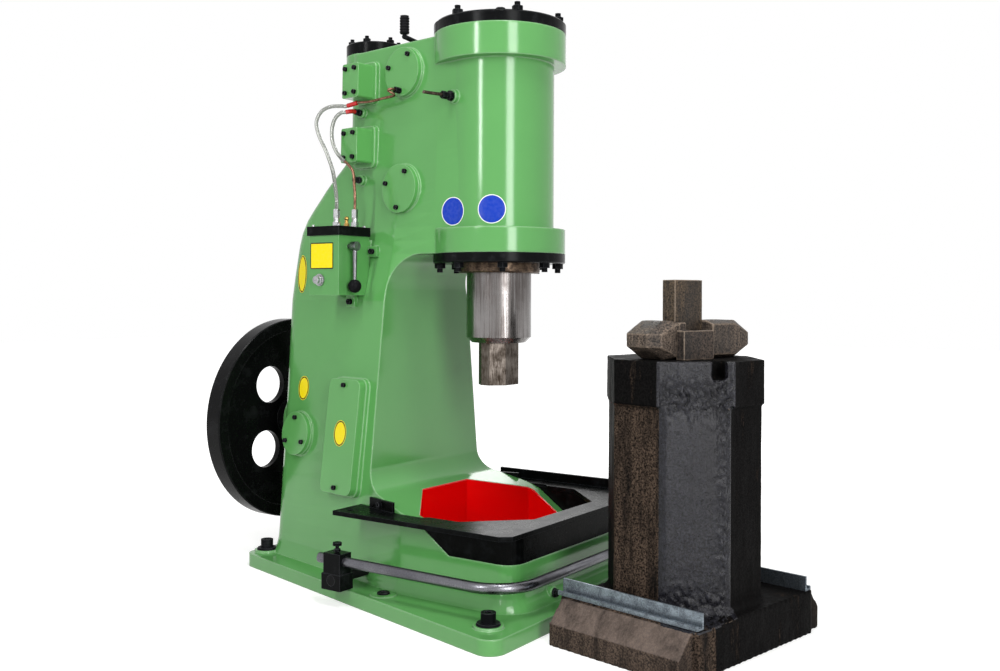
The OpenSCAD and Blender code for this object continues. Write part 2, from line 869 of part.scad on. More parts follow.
module bearing_cover_screws() {
    color(black)
        on_wall(bearing_y, bearing_cover_z, draft_a)
            translate([0, 0, pad_h + cover_t])
                at_bearing_screws()
                    cap_screw(screw_d, cover_t + screw_in - 2);
}
module crank_bearing() {
    color("#9a7a44")
        difference() {
            union() {
                translate([0, bush_y1, shaft_z])
                    rotate([90, 0, 0])
                        cylinder(r = bush_r, h = bush_y1 - bush_y0, $fn = 64);
                translate([0, bush_y1 + 6, shaft_z])
                    rotate([90, 0, 0])
                        cylinder(r = bush_r + 12, h = 6, $fn = 64);
            }
            translate([0, bush_y1 + 10, shaft_z])
                rotate([90, 0, 0])
                    cylinder(r = shaft_d / 2 + shaft_gap, h = bush_y1 - bush_y0 + 20, $fn = 64);
        }
}
module drain_plug() {
    color(black)
        translate([drain_x, drain_y, drain_z])
            rotate([90, 0, 0]) {
                cylinder(r = 12, h = 3);
                cylinder(r = 10, h = 11, $fn = 6);
                translate([0, 0, -20])
                    cylinder(r = 7, h = 21);
            }
}
module foundation_bolts() {
    color(black)
        at_found_bolts()
            translate([0, 0, base_t + seat_h + washer_t])
                difference() {
                    union() {
                        cylinder(r = found_bolt_d * 0.76, h = found_bolt_d);
                        translate([0, 0, -base_t - seat_h - washer_t + 3])
                            cylinder(r = found_bolt_d / 2, h = base_t + seat_h + washer_t);
                    }
                    translate([0, 0, found_bolt_d * 0.4])
                        cylinder(r = found_bolt_d * 0.42, h = found_bolt_d, $fn = 6);
                }
}
module foundation_washers() {
    color(black)
        at_found_bolts()
            translate([0, 0, base_t + seat_h])
                difference() {
                    cylinder(r1 = washer_r, r2 = washer_r - 2.4, h = washer_t);
                    translate([0, 0, -1])
                        cylinder(r = found_hole_d / 2, h = washer_t + 2);
                }
}

module oil_box() {
    color(paint)
        difference() {
            union() {
                translate([-lub_seat_x - lub_d, lub_y, lub_z])
                    cube([lub_d, lub_w, lub_h]);
                lub_ears();
            }
            translate([pump_x, lub_y + 30, pump_z])
                rotate([90, 0, 0])
                    cylinder(r = 7.06, h = 40);
            at_lub_bolts()
                translate([0, 0, ear_t])
                    screw_hole(lub_bolt_d, ear_t);
            translate([-lub_seat_x - lub_d, sight_y, sight_z])
                rotate([0, -90, 0])
                    screw_hole(16, 14);
            at_lid_screws()
                screw_hole(5, lub_lid_h + 12);
        }
}
module oil_box_lid() {
    color(black)
        difference() {
            translate([-lub_seat_x - lub_d - 5, lub_y - 5, lub_top])
                cube([lub_d + 5, lub_w + 10, lub_lid_h]);
            at_lid_screws()
                screw_hole(5, lub_lid_h);
            for (p = outlet_xy)
                translate([p[0], p[1], lub_top + lub_lid_h])
                    screw_hole(12, 14);
        }
}
module oil_box_lid_screws() {
    color(steel)
        at_lid_screws()
            cap_screw(5, lub_lid_h + 10);
}
module oil_box_bolts() {
    color(black)
        at_lub_bolts()
            translate([0, 0, ear_t])
                cap_screw(lub_bolt_d, ear_t + 20);
}
module oil_sight_plug() {
    color("#d9d9d4")
        translate([-lub_seat_x - lub_d, sight_y, sight_z])
            rotate([0, -90, 0]) {
                cylinder(r = 17, h = 5);
                cylinder(r = 15, h = 11, $fn = 6);
                cylinder(r = 11, h = 19);
                translate([0, 0, -12])
                    cylinder(r = 8, h = 13);
            }
}
module outlet(h) {
    cylinder(r = 11, h = 14, $fn = 6);
    cylinder(r = 8, h = 28);
    translate([0, 0, 26])
        cylinder(r = 9.5, h = h - 26, $fn = 6);
    translate([0, 0, -13])
        cylinder(r = 6, h = 14);
}
module oil_outlets() {
    color("#b9b7ae")
        for (p = [outlet_xy[0], outlet_xy[2]])
            translate([p[0], p[1], lub_top + lub_lid_h])
                outlet(outlet_h);
}
module oil_vent() {
    color("#b08d4a")
        translate([outlet_xy[1][0], outlet_xy[1][1], lub_top + lub_lid_h]) {
            cylinder(r = 8, h = 10, $fn = 6);
            cylinder(r = 5, h = 26);
            translate([0, 0, 24])
                sphere(r = 6.5);
            translate([0, 0, -13])
                cylinder(r = 6, h = 14);
        }
}

// Tube along a smooth curve through hand chosen points
function unit(v) = v / norm(v);
function spline(p, k) = let (n = len(p))
    [for (i = [0 : n - 2], j = [0 : k - 1]) let (
            t = j / k,
            a = p[max(0, i - 1)],
            b = p[i],
            c = p[i + 1],
            d = p[min(n - 1, i + 2)])
        0.5 * (2 * b + (c - a) * t + (2 * a - 5 * b + 4 * c - d) * t * t + (3 * b - a - 3 * c + d) * t * t * t)];
module tube(points, r, k, sides) {
    path = concat(spline(points, k), [points[len(points) - 1]]);
    n = len(path);
    tang = [for (i = [0 : n - 1]) unit(path[min(n - 1, i + 1)] - path[max(0, i - 1)])];
    first = unit(cross(tang[0], [0.31, 0.22, 0.13]));
    nrm = [for (i = 0, v = first; i < n; i = i + 1, v = i < n ? unit(v - (v * tang[i]) * tang[i]) : v) v];
    loft([for (i = [0 : n - 1]) [for (q = [0 : sides - 1]) let (a = 360 * q / sides)
        path[i] + r * (cos(a) * nrm[i] + sin(a) * cross(tang[i], nrm[i]))]]);
}

// Where a point in a wall seat's own axes lies in the frame
function from_wall(y, z, d, p) = let (t = atan(wall_taper(z)), u = p[0] * sin(d) - p[2] * cos(d))
    [-wall_x(y, z) + u * cos(t) + p[1] * sin(t), y - u * sin(t) + p[1] * cos(t), z + p[0] * cos(d) + p[2] * sin(d)];

inlet_h = 24;
pipe_r = 4;
hose_r = 5.5;
sleeve_r = 6.5;
boss_a_tip = [-wall_x(boss_a[0], boss_a[1]) - boss_h - inlet_h, boss_a[0], boss_a[1]];
boss_b_tip = [-wall_x(boss_b[0], boss_b[1]) - boss_h - inlet_h, boss_b[0], boss_b[1]];
banjo = [valve_screw_pcr * cos(valve_screw_a[2]), valve_screw_pcr * sin(valve_screw_a[2]), pad_h + cover_t];
banjo_tip = from_wall(valve_y, upper_valve_z, 1, banjo + [0, 0, 20]);
out_rear = [outlet_xy[0][0], outlet_xy[0][1], lub_top + lub_lid_h + outlet_h];
out_front = [outlet_xy[2][0], outlet_xy[2][1], lub_top + lub_lid_h + outlet_h];
sleeve_rear = [boss_a_tip[0] - 22, boss_a[0] + 8, boss_a[1] + 15];
sleeve_front = [boss_a_tip[0] - 30, boss_a[0] + 8, boss_a[1] - 5];
sleeve_rear_d = [3, -16, 3];
sleeve_front_d = [10, -8, 3];
hose_rear_path = [out_rear + [0, 0, 0.4], out_rear + [0, 0, 30], [-240, 402, 1122], [-231, 422, 1174], [-222, 456, 1231],
    [-212, 494, 1280], [-203, 514, 1322], [-193, 504, 1354], [-184, 478, 1367], [-170, 451, 1369],
    sleeve_rear - 0.5 * sleeve_rear_d, sleeve_rear - 0.03 * sleeve_rear_d];
hose_front_path = [out_front + [0, 0, 0.4], out_front + [0, 0, 40], [-211, 356, 1130], [-208, 364, 1168],
    [-204, 389, 1192], [-202, 416, 1210], [-198, 440, 1234], [-194, 458, 1264], [-190, 464, 1298],
    [-189, 454, 1328], sleeve_front - 1.2 * sleeve_front_d, sleeve_front - 0.08 * sleeve_front_d];
sleeve_rear_path = [sleeve_rear, sleeve_rear + sleeve_rear_d, sleeve_rear + 2 * sleeve_rear_d];
sleeve_front_path = [sleeve_front, sleeve_front + 0.8 * sleeve_front_d, boss_a_tip - [8, 0, 0], boss_a_tip - [0.4, 0, 0]];
copper_path = [sleeve_rear + 2.03 * sleeve_rear_d, sleeve_rear + 2.5 * sleeve_rear_d, [-152, 352, boss_a[1] + 21], [-156, 300, boss_a[1] + 24], [-160, 252, boss_a[1] + 28],
    banjo_tip + [-16, 10, -4], banjo_tip + [-11, 2, 0], banjo_tip - [0.5, 0, 0]];

module oil_hose_rear() {
    color("#c9cccb")
        tube(hose_rear_path, hose_r, 4, 10);
}
module oil_hose_front() {
    color("#c9cccb")
        tube(hose_front_path, hose_r, 4, 10);
}
module oil_sleeves() {
    color("#b3202a") {
        tube(sleeve_rear_path, sleeve_r, 4, 10);
        tube(sleeve_front_path, sleeve_r, 4, 10);
    }
}
module inlet() {
    translate([0, 0, -12])
        cylinder(r = 5, h = 14);
    cylinder(r = 10, h = 9, $fn = 6);
    cylinder(r = 7, h = 16);
    translate([0, 0, 15])
        cylinder(r = 9, h = inlet_h - 15, $fn = 6);
}
module oil_inlets() {
    color(black) {
        at_oil_bosses()
            translate([0, 0, boss_h])
                inlet();
        on_wall(valve_y, upper_valve_z, 1)
            translate(banjo) {
                cylinder(r = 9, h = 20, $fn = 6);
                translate([0, 0, -cover_t - screw_in + 2])
                    cylinder(r = screw_d / 2, h = cover_t + screw_in);
            }
    }
}
module copper_pipe() {
    color(copper)
        tube(copper_path, pipe_r, 4, 10);
}
module cylinder_oil_inlet() {
    color(black)
        at_cylinder_boss() {
            translate([0, 0, -14])
                cylinder(r = 7, h = 15);
            cylinder(r = 14, h = 12, $fn = 6);
            cylinder(r = 9, h = 22);
            translate([0, 0, 20])
                cylinder(r = 11, h = 14, $fn = 6);
        }
}
module copper_stub() {
    color(copper)
        at_cylinder_boss()
            translate([0, 0, 34])
                cylinder(r = 4.5, h = 60);
}

// Tray
tray_wall = 8;
wing_y = 283;
wing_edge = [[wall_x(wing_y + 1, tray_low) + ear_gap, wing_y + 1], [wall_x(col_front, tray_low) + ear_gap, col_front],
    [housing_hw + ear_gap, kink_y], [housing_hw + ear_gap, deck_mid_y - 18], [288, deck_mid_y - 32],
    [288, -78], [150, -218]];
module at_tray_screws() {
    for (s = [0, 1])
        mirror([s, 0, 0])
            translate([-ear_mid_x, ear_mid_y, tray_z + 13])
                rotate([0, 0, -ear_a])
                    rotate([0, -90, 0])
                        children();
}
module tray_flange() {
    difference() {
        union() {
            polygon([[-tray_hw, wing_y], [-tray_hw, -tray_front + 26], [-tray_hw + 22, -tray_front],
                [tray_hw - 22, -tray_front], [tray_hw, -tray_front + 26], [tray_hw, wing_y]]);
        }
        polygon(concat([for (p = wing_edge) [-p[0], p[1]]], [for (i = [len(wing_edge) - 1 : -1 : 0]) wing_edge[i]]));
    }
}
module tray() {
    color(black)
        difference() {
            union() {
                translate([0, 0, tray_z - tray_t])
                    linear_extrude(tray_t)
                        tray_flange();
                difference() {
                    translate([0, 0, housing_z - 60])
                        linear_extrude(tray_z - tray_t / 2 - housing_z + 60)
                            difference() {
                                foot_outline(0);
                                foot_outline(tray_wall);
                            }
                    under_deck();
                    translate([-700, kink_y - 12, 0])
                        cube([1400, 800, 800]);
                }
                translate([tray_hw - 8, -tray_front + 30, tray_z - 1])
                    cube([8, wing_y - 40 + tray_front - 30, tray_lip + 1]);
                for (s = [0, 1])
                    mirror([s, 0, 0])
                        translate([0, 0, tray_z - 1])
                            linear_extrude(28)
                                polygon([[-ear_px(130) - ear_gap, 130], [-ear_px(236) - ear_gap, 236],
                                    [-ear_px(236) - ear_gap - 8, 236], [-ear_px(130) - ear_gap - 8, 130]]);
            }
            at_tray_screws()
                translate([0, 0, ear_gap + 8])
                    screw_hole(tray_screw_d, 40);
            for (s = [-1, 1])
                translate([s * (tray_hw - 34), wing_y - 34, tray_z - tray_t - 1])
                    cylinder(r = 8, h = tray_t + 2);
        }
}
module foot_outline(inset) {
    polygon([for (p = ring(base_t + 56)) [p[0] - sign(p[0]) * inset, p[1] < -housing_len + 50 ? p[1] + inset : p[1]]]);
}
module tray_screws() {
    color(black)
        at_tray_screws()
            translate([0, 0, ear_gap + 8 * cos(ear_a)])
                cap_screw(tray_screw_d, 24);
}

// Anvil
anvil_yaw = -10.5;
module at_anvil() {
    translate([anvil_x, -anvil_len, 0])
        rotate([0, 0, anvil_yaw])
            children();
}
// Eight sided block, the width of the four flats that face the sides given
module octagon(af, flat) {
    h = af / 2;
    f = flat / 2;
    polygon([[-h, -f], [-h, f], [-f, h], [f, h], [h, f], [h, -f], [f, -h], [-f, -h]]);
}
foot_hw = anvil_af / 2 + foot_ledge;
foot_edge = foot_h / 2;
bevel_top = 12;
bevel_set = 13;
anvil_flat = 145;
collar_flat = 126;
post_x = -7;
post_y = 10;
notch_w = 31;
notch_h = 42;
notch_set = 18;
module anvil() {
    color(rusty)
        at_anvil() {
            difference() {
                union() {
                    translate([-foot_hw, -foot_depth / 2, 0])
                        cube([2 * foot_hw, foot_depth, foot_h]);
                    for (k = [0, 1])
                        mirror([k, 0, 0])
                            translate([foot_hw - 1, foot_depth / 2 - bevel_set, 0])
                                rotate([90, 0, 0])
                                    linear_extrude(foot_depth - 2 * bevel_set)
                                        polygon([[0, 0], [foot_bevel + 1, 0], [foot_bevel + 1, foot_edge],
                                            [bevel_top, foot_h - 3], [0, foot_h - 3]]);
                    translate([post_x, post_y, foot_h - 1])
                        linear_extrude(anvil_h - foot_h + 1)
                            octagon(anvil_af, anvil_flat);
                    translate([post_x, post_y, anvil_h - 1])
                        linear_extrude(collar_h + 1)
                            octagon(collar_af, collar_flat);
                }
                translate([post_x - collar_flat / 2, post_y - collar_af / 2, collar_top - notch_h])
                    rotate([0, 0, -45])
                        translate([-notch_w - notch_set, -10, 0])
                            cube([notch_w, 70, notch_h + 1]);
            }
        }
}
rail_w = 24;
rail_h = 36;
rail_t = 5;
module anvil_rails() {
    color("#7d8a90")
        at_anvil()
            for (k = [0, 1])
                mirror([k, 0, 0])
                    translate([-foot_hw, foot_depth / 2 + 8, foot_h])
                        rotate([90, 0, 0])
                            linear_extrude(foot_depth + 4)
                                polygon([[0, 0], [rail_w, 0], [rail_w, rail_h], [rail_w - rail_t, rail_h],
                                    [rail_w - rail_t, rail_t], [rail_t, rail_t], [rail_t, rail_t * 2], [0, rail_t * 2]]);
}
collar_top = anvil_h + collar_h;
holder_top = collar_top + holder_h;
lower_die_w = 96;
lower_die_d = 40;
key_t = 22;
key_gap = 0.1;
die_seat_w = lower_die_w + key_t + key_gap;
die_seat_x = -95;
die_seat_h = 32;
holder_turn = -6;
module at_holder() {
    at_anvil()
        rotate([0, 0, holder_turn])
            children();
}
holder_hw = 178;
holder_d = 112;
holder_cut = 50;
holder_edge = 24;
// Eight sided side view of the die holder, pulled in all round
module holder_outline(pull) {
    a = holder_hw - pull;
    z0 = collar_top + pull * 0.35;
    z1 = holder_top - pull * 0.35;
    polygon([[-a, collar_top + holder_h / 3], [-a, holder_top - holder_h / 3], [-a + holder_cut, z1],
        [a - holder_cut, z1], [a, holder_top - holder_h / 3], [a, collar_top + holder_h / 3],
        [a - holder_cut, z0], [-a + holder_cut, z0]]);
}
module die_holder() {
    color(rusty)
        at_holder()
            difference() {
                hull() {
                    translate([0, holder_d / 2, 0])
                        rotate([90, 0, 0])
                            linear_extrude(holder_d)
                                holder_outline(holder_edge);
                    translate([0, holder_d / 2 - holder_edge, 0])
                        rotate([90, 0, 0])
                            linear_extrude(holder_d - 2 * holder_edge)
                                holder_outline(0);
                }
                translate([die_seat_x, -holder_d, holder_top - die_seat_h])
                    cube([die_seat_w, 2 * holder_d, die_seat_h + 1]);
            }
}
key_head_w = 104;
key_head_t = 24;
// Flat key beside the die with a deep driving head in front of the holder
module die_key() {
    color(rusty)
        at_holder() {
            translate([die_seat_x, -holder_d / 2 - key_gap, holder_top - die_seat_h])
                cube([key_t, holder_d, die_seat_h - 4]);
            translate([die_seat_x - 11, -holder_d / 2 - key_gap - key_head_t, collar_top])
                cube([key_head_w, key_head_t, holder_h - 22]);
        }
}
module lower_die() {
    color(rusty)
        at_holder()
            translate([die_seat_x + key_t + key_gap, -lower_die_d / 2 - 2, holder_top - die_seat_h])
                cube([lower_die_w, lower_die_d, lower_die_h + die_seat_h]);
}

ram_top = cyl_top - 215;
tenon_r = 30;
tenon_h = 44;
module ram() {
    color(steel)
        difference() {
            union() {
                translate([0, 0, ram_z])
                    cylinder(r1 = ram_d / 2 - ram_chamfer, r2 = ram_d / 2, h = ram_chamfer, $fn = 96);
                translate([0, 0, ram_z + ram_chamfer])
                    cylinder(r = ram_d / 2, h = ram_top - ram_z - ram_chamfer, $fn = 96);
            }
            translate([0, 0, ram_z - 1])
                cylinder(r = tenon_r, h = tenon_h + 1);
        }
}
module upper_die() {
    color(rusty) {
        translate([0, 0, die_z])
            linear_extrude(ram_z - die_z)
                polygon([[-die_w / 2, -die_d / 2 + die_cut], [-die_w / 2, die_d / 2 - die_cut],
                    [-die_w / 2 + die_cut, die_d / 2], [die_w / 2 - die_cut, die_d / 2],
                    [die_w / 2, die_d / 2 - die_cut], [die_w / 2, -die_d / 2 + die_cut],
                    [die_w / 2 - die_cut, -die_d / 2], [-die_w / 2 + die_cut, -die_d / 2]]);
        translate([0, 0, ram_z - 1])
            cylinder(r = tenon_r, h = tenon_h - 2);
    }
}

module along_shaft(y) {
    translate([0, y, shaft_z])
        rotate([-90, 0, 0])
            children();
}
module flywheel() {
    color(black)
        difference() {
            along_shaft(wheel_y)
                rotate_extrude($fn = 120)
                    polygon([[shaft_d / 2, hub_y0 - wheel_y], [hub_r, hub_y0 - wheel_y], [hub_r, (wheel_w - web_t) / 2],
                        [wheel_r - rim_t, (wheel_w - web_t) / 2], [wheel_r - rim_t, 0], [wheel_r - 3, 0], [wheel_r, 3],
                        [wheel_r, wheel_w - 3], [wheel_r - 3, wheel_w], [wheel_r - rim_t, wheel_w],
                        [wheel_r - rim_t, (wheel_w + web_t) / 2], [hub_r, (wheel_w + web_t) / 2],
                        [hub_r, hub_y1 - wheel_y], [shaft_d / 2, hub_y1 - wheel_y]]);
            for (a = [40, 130, 220, 310])
                translate([web_hole_pcr * cos(a), wheel_y - 1, shaft_z + web_hole_pcr * sin(a)])
                    rotate([-90, 0, 0])
                        cylinder(r = web_hole_r, h = wheel_w + 2);
            key_space();
        }
}
module key_space() {
    translate([-key_w / 2, hub_y0 - 1, shaft_z + shaft_d / 2 - key_h / 2])
        cube([key_w, hub_y1 - hub_y0 + 2, key_h]);
}
module crankshaft() {
    color(steel)
        difference() {
            along_shaft(shaft_y0)
                cylinder(r = shaft_d / 2, h = hub_y1 - shaft_y0, $fn = 64);
            key_space();
        }
}
module flywheel_key() {
    color(steel)
        translate([-key_w / 2, hub_y0, shaft_z + shaft_d / 2 - key_h / 2])
            cube([key_w, hub_y1 - hub_y0, key_h]);
}
module flywheel_plate() {
    color(black) {
        along_shaft(hub_y1)
            cylinder(r = hub_r - 12, h = 10);
        along_shaft(hub_y1 + 9)
            cylinder(r = 17, h = 13, $fn = 6);
    }
}

module treadle_bar() {
    color(steel) {
        for (s = [-1, 1]) {
            translate([s * bar_hw, bar_tail, bar_z])
                rotate([90, 0, 0])
                    cylinder(r = bar_d / 2, h = bar_tail + bar_front - bar_bend);
            translate([s * (bar_hw - bar_bend), -bar_front + bar_bend, bar_z])
                rotate([0, 0, s < 0 ? 180 : 270])
                    rotate_extrude(angle = 90, $fn = 64)
                        translate([bar_bend, 0])
                            circle(bar_d / 2, $fn = 40);
        }
        translate([-bar_hw + bar_bend, -bar_front, bar_z])
            rotate([0, 90, 0])
                cylinder(r = bar_d / 2, h = 2 * (bar_hw - bar_bend));
    }
}
module treadle_clamps() {
    color(black)
        for (s = [-1, 1])
            translate([s * bar_hw, pivot_y, 0])
                difference() {
                    union() {
                        translate([-clamp_d / 2, -clamp_w / 2, clamp_z0 + 30])
                            cube([clamp_d, clamp_w, clamp_z1 - clamp_z0 - 30]);
                        translate([-clamp_d / 2 - 3, -clamp_w / 2 - 4, clamp_z0])
                            cube([clamp_d + 6, clamp_w + 8, 42]);
                    }
                    translate([0, 80, bar_z])
                        rotate([90, 0, 0])
                            cylinder(r = bar_d / 2, h = 160);
                    translate([-60, 0, pivot_z])
                        rotate([0, 90, 0])
                            cylinder(r = pivot_d / 2, h = 120);
                    translate([0, 0, clamp_z1])
                        screw_hole(10, 20);
                }
}
module treadle_clamp_screws() {
    color(black)
        for (s = [-1, 1])
            translate([s * bar_hw, pivot_y, 0]) {
                translate([0, 0, bar_z + bar_d / 2])
                    cylinder(r = 5, h = clamp_z1 - bar_z - bar_d / 2 + 20);
                translate([0, 0, clamp_z1 + 2])
                    cylinder(r = 9, h = 7, $fn = 6);
                translate([0, 0, clamp_z1 + 18])
                    cylinder(r = 12, h = 8);
            }
}
module treadle_shaft() {
    color(steel)
        translate([-bar_hw - clamp_d / 2 - 3, pivot_y, pivot_z])
            rotate([0, 90, 0])
                cylinder(r = pivot_d / 2, h = 2 * bar_hw + clamp_d + 6);
}

module pump_lever() {
    color(steel)
        translate([pump_x, 0, pump_z]) {
            translate([0, lub_y + 24, 0])
                rotate([90, 0, 0])
                    cylinder(r = 7, h = 40);
            translate([0, lub_y - 12, 0])
                rotate([90, 0, 0])
                    cylinder(r = 13, h = 20);
            translate([0, lub_y - 22, -pump_len + pump_ball_d / 2 - 2])
                cylinder(r1 = 5, r2 = 7, h = pump_len - pump_ball_d / 2 + 2);
        }
}
module pump_ball() {
    color(black)
        translate([pump_x, lub_y - 22, pump_z - pump_len])
            difference() {
                sphere(r = pump_ball_d / 2);
                translate([0, 0, pump_ball_d / 2 - 2])
                    cylinder(r1 = 5, r2 = 7, h = pump_len - pump_ball_d / 2 + 2);
            }
}

lever_x = -40;
lever_y = 212;
lever_spindle_d = 20;
lever_a = 124;
lever_r = 80;
lever_lift = 30;
grip_h = 52;
module lever_seat() {
    translate([lever_x, lever_y, head_top])
        children();
}
module hand_lever() {
    color(black)
        lever_seat() {
            translate([0, 0, -38])
                cylinder(r = lever_spindle_d / 2, h = 60);
            translate([0, 0, 0.4])
                cylinder(r = 17, h = 20);
            rotate([0, 0, lever_a]) {
                translate([0, 0, 13])
                    rotate([0, 90, 0])
                        cylinder(r = 7, h = 44);
                translate([44, 0, 13])
                    sphere(r = 7.6);
                translate([44, 0, 13])
                    rotate([0, atan((lever_r - 44) / (lever_lift - 13)), 0])
                        cylinder(r = 7, h = norm([lever_r - 44, lever_lift - 13]));
                translate([lever_r, 0, lever_lift])
                    sphere(r = 7.6);
                translate([lever_r, 0, lever_lift])
                    cylinder(r = 6, h = grip_h + 4);
            }
        }
}
module hand_lever_grip() {
    color(black)
        lever_seat()
            rotate([0, 0, lever_a])
                translate([lever_r, 0, lever_lift + 8])
                    rotate_extrude()
                        polygon(concat([[6, 0], [12, 0]],
                            [for (i = [0 : 5]) each [[14, 3 + i * 8], [14, 7 + i * 8], [11.5, 8 + i * 8], [11.5, 10 + i * 8]]],
                            [[13, grip_h], [6, grip_h]]));
}

frame();
front_cover();
front_cover_nuts();
cover_plug();
rear_cover();
rear_cover_nuts();
bottom_cover();
bottom_cover_nuts();
gland();
upper_valve_cover();
lower_valve_cover();
valve_cover_screws();
upper_port_cover();
lower_port_cover();
port_cover_screws();
access_cover();
access_cover_screws();
bearing_cover();
bearing_cover_screws();
crank_bearing();
drain_plug();
foundation_bolts();
foundation_washers();
oil_box();
oil_box_lid();
oil_box_lid_screws();
oil_box_bolts();
oil_sight_plug();
oil_outlets();
oil_vent();
oil_hose_rear();
oil_hose_front();
oil_sleeves();
oil_inlets();
copper_pipe();
cylinder_oil_inlet();
copper_stub();
tray();
tray_screws();
anvil();
anvil_rails();
die_holder();
die_key();
lower_die();
ram();
upper_die();
flywheel();
crankshaft();
flywheel_key();
flywheel_plate();
treadle_bar();
treadle_clamps();
treadle_clamp_screws();
treadle_shaft();
pump_lever();
pump_ball();
hand_lever();
hand_lever_grip();
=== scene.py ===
import math

import bpy
from mathutils import Matrix, Quaternion, Vector


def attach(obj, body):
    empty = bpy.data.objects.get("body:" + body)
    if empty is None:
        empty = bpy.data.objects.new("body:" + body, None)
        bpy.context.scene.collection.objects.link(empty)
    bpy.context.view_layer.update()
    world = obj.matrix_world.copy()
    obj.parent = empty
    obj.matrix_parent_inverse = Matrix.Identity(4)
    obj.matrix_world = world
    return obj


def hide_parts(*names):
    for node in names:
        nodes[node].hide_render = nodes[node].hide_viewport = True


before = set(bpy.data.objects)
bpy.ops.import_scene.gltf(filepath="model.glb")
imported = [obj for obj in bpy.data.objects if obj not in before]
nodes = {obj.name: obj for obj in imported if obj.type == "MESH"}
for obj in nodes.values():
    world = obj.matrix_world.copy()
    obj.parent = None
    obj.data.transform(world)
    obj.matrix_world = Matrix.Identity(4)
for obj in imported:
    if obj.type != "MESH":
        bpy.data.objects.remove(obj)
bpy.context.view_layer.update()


# Frame casting: base, pit housing, C-column and both cylinders, poured as one piece of grey iron.
# It is filled, rubbed down and sprayed with gloss machine enamel, and the pit walls are brushed red.
FRAME_GREEN = "#5da057"
FRAME_SHADE = "#559751"
FLOOR_DUST = "#8b8f7c"
DUST_HEIGHT = 0.11
EDGE_HIGHLIGHT_GREEN = "#a4cfa0"
PIT_RED = "#e50204"
PIT_HALF_WIDTH = 0.2626
PIT_REAR = 0.1886
PIT_FRONT = 0.1966
PIT_FRONT_CORNER = 0.3889
PIT_REAR_CORNER = 0.2664
PIT_REAR_SLOPE = 0.7468
PIT_TOP = 0.45


def linear(code):
    """An sRGB hex colour as linear red, green, blue and alpha."""
    channels = [int(code[i:i + 2], 16) / 255 for i in (1, 3, 5)]
    return tuple(c / 12.92 if c <= 0.04045 else ((c + 0.055) / 1.055) ** 2.4 for c in channels) + (1.0,)


def per_mm(size):
    """Noise scale, in a frame of metres, whose grains are about this many millimetres wide."""
    return 1000.0 / size


def add(tree, kind, inputs, **settings):
    """One shader node with its settings, its fixed inputs and its links.

    A Mix node of colours takes its amount in socket 0 and its two colours in 6 and 7, and gives output 2.
    """
    node = tree.nodes.new("ShaderNode" + kind)
    for name, value in settings.items():
        setattr(node, name, value)
    for socket, value in inputs.items():
        if isinstance(value, bpy.types.NodeSocket):
            tree.links.new(value, node.inputs[socket])
        else:
            node.inputs[socket].default_value = value
    return node


def start_material(name):
    """A new material with its shader and the piece's own coordinates."""
    material = bpy.data.materials.new(name)
    material.use_nodes = True
    tree = material.node_tree
    return material, tree, tree.nodes["Principled BSDF"], add(tree, "TexCoord", {}).outputs["Object"]


def wear(material, *names):
    """Puts a material on CAD nodes."""
    for name in names:
        nodes[name].data.materials.clear()
        nodes[name].data.materials.append(material)


def edge_highlight_mask(tree, rounded, strength):
    """How much painted highlight a rounded edge gets at a point: nothing on a face, up to strength on a
    corner.
    """
    face = add(tree, "NewGeometry", {}).outputs["True Normal"]
    turned = add(tree, "VectorMath", {0: rounded.outputs[0], 1: face}, operation="DOT_PRODUCT")
    return add(tree, "MapRange", {"Value": turned.outputs["Value"], "From Min": 0.985, "From Max": 0.80,
                                  "To Min": 0.0, "To Max": strength}).outputs["Result"]


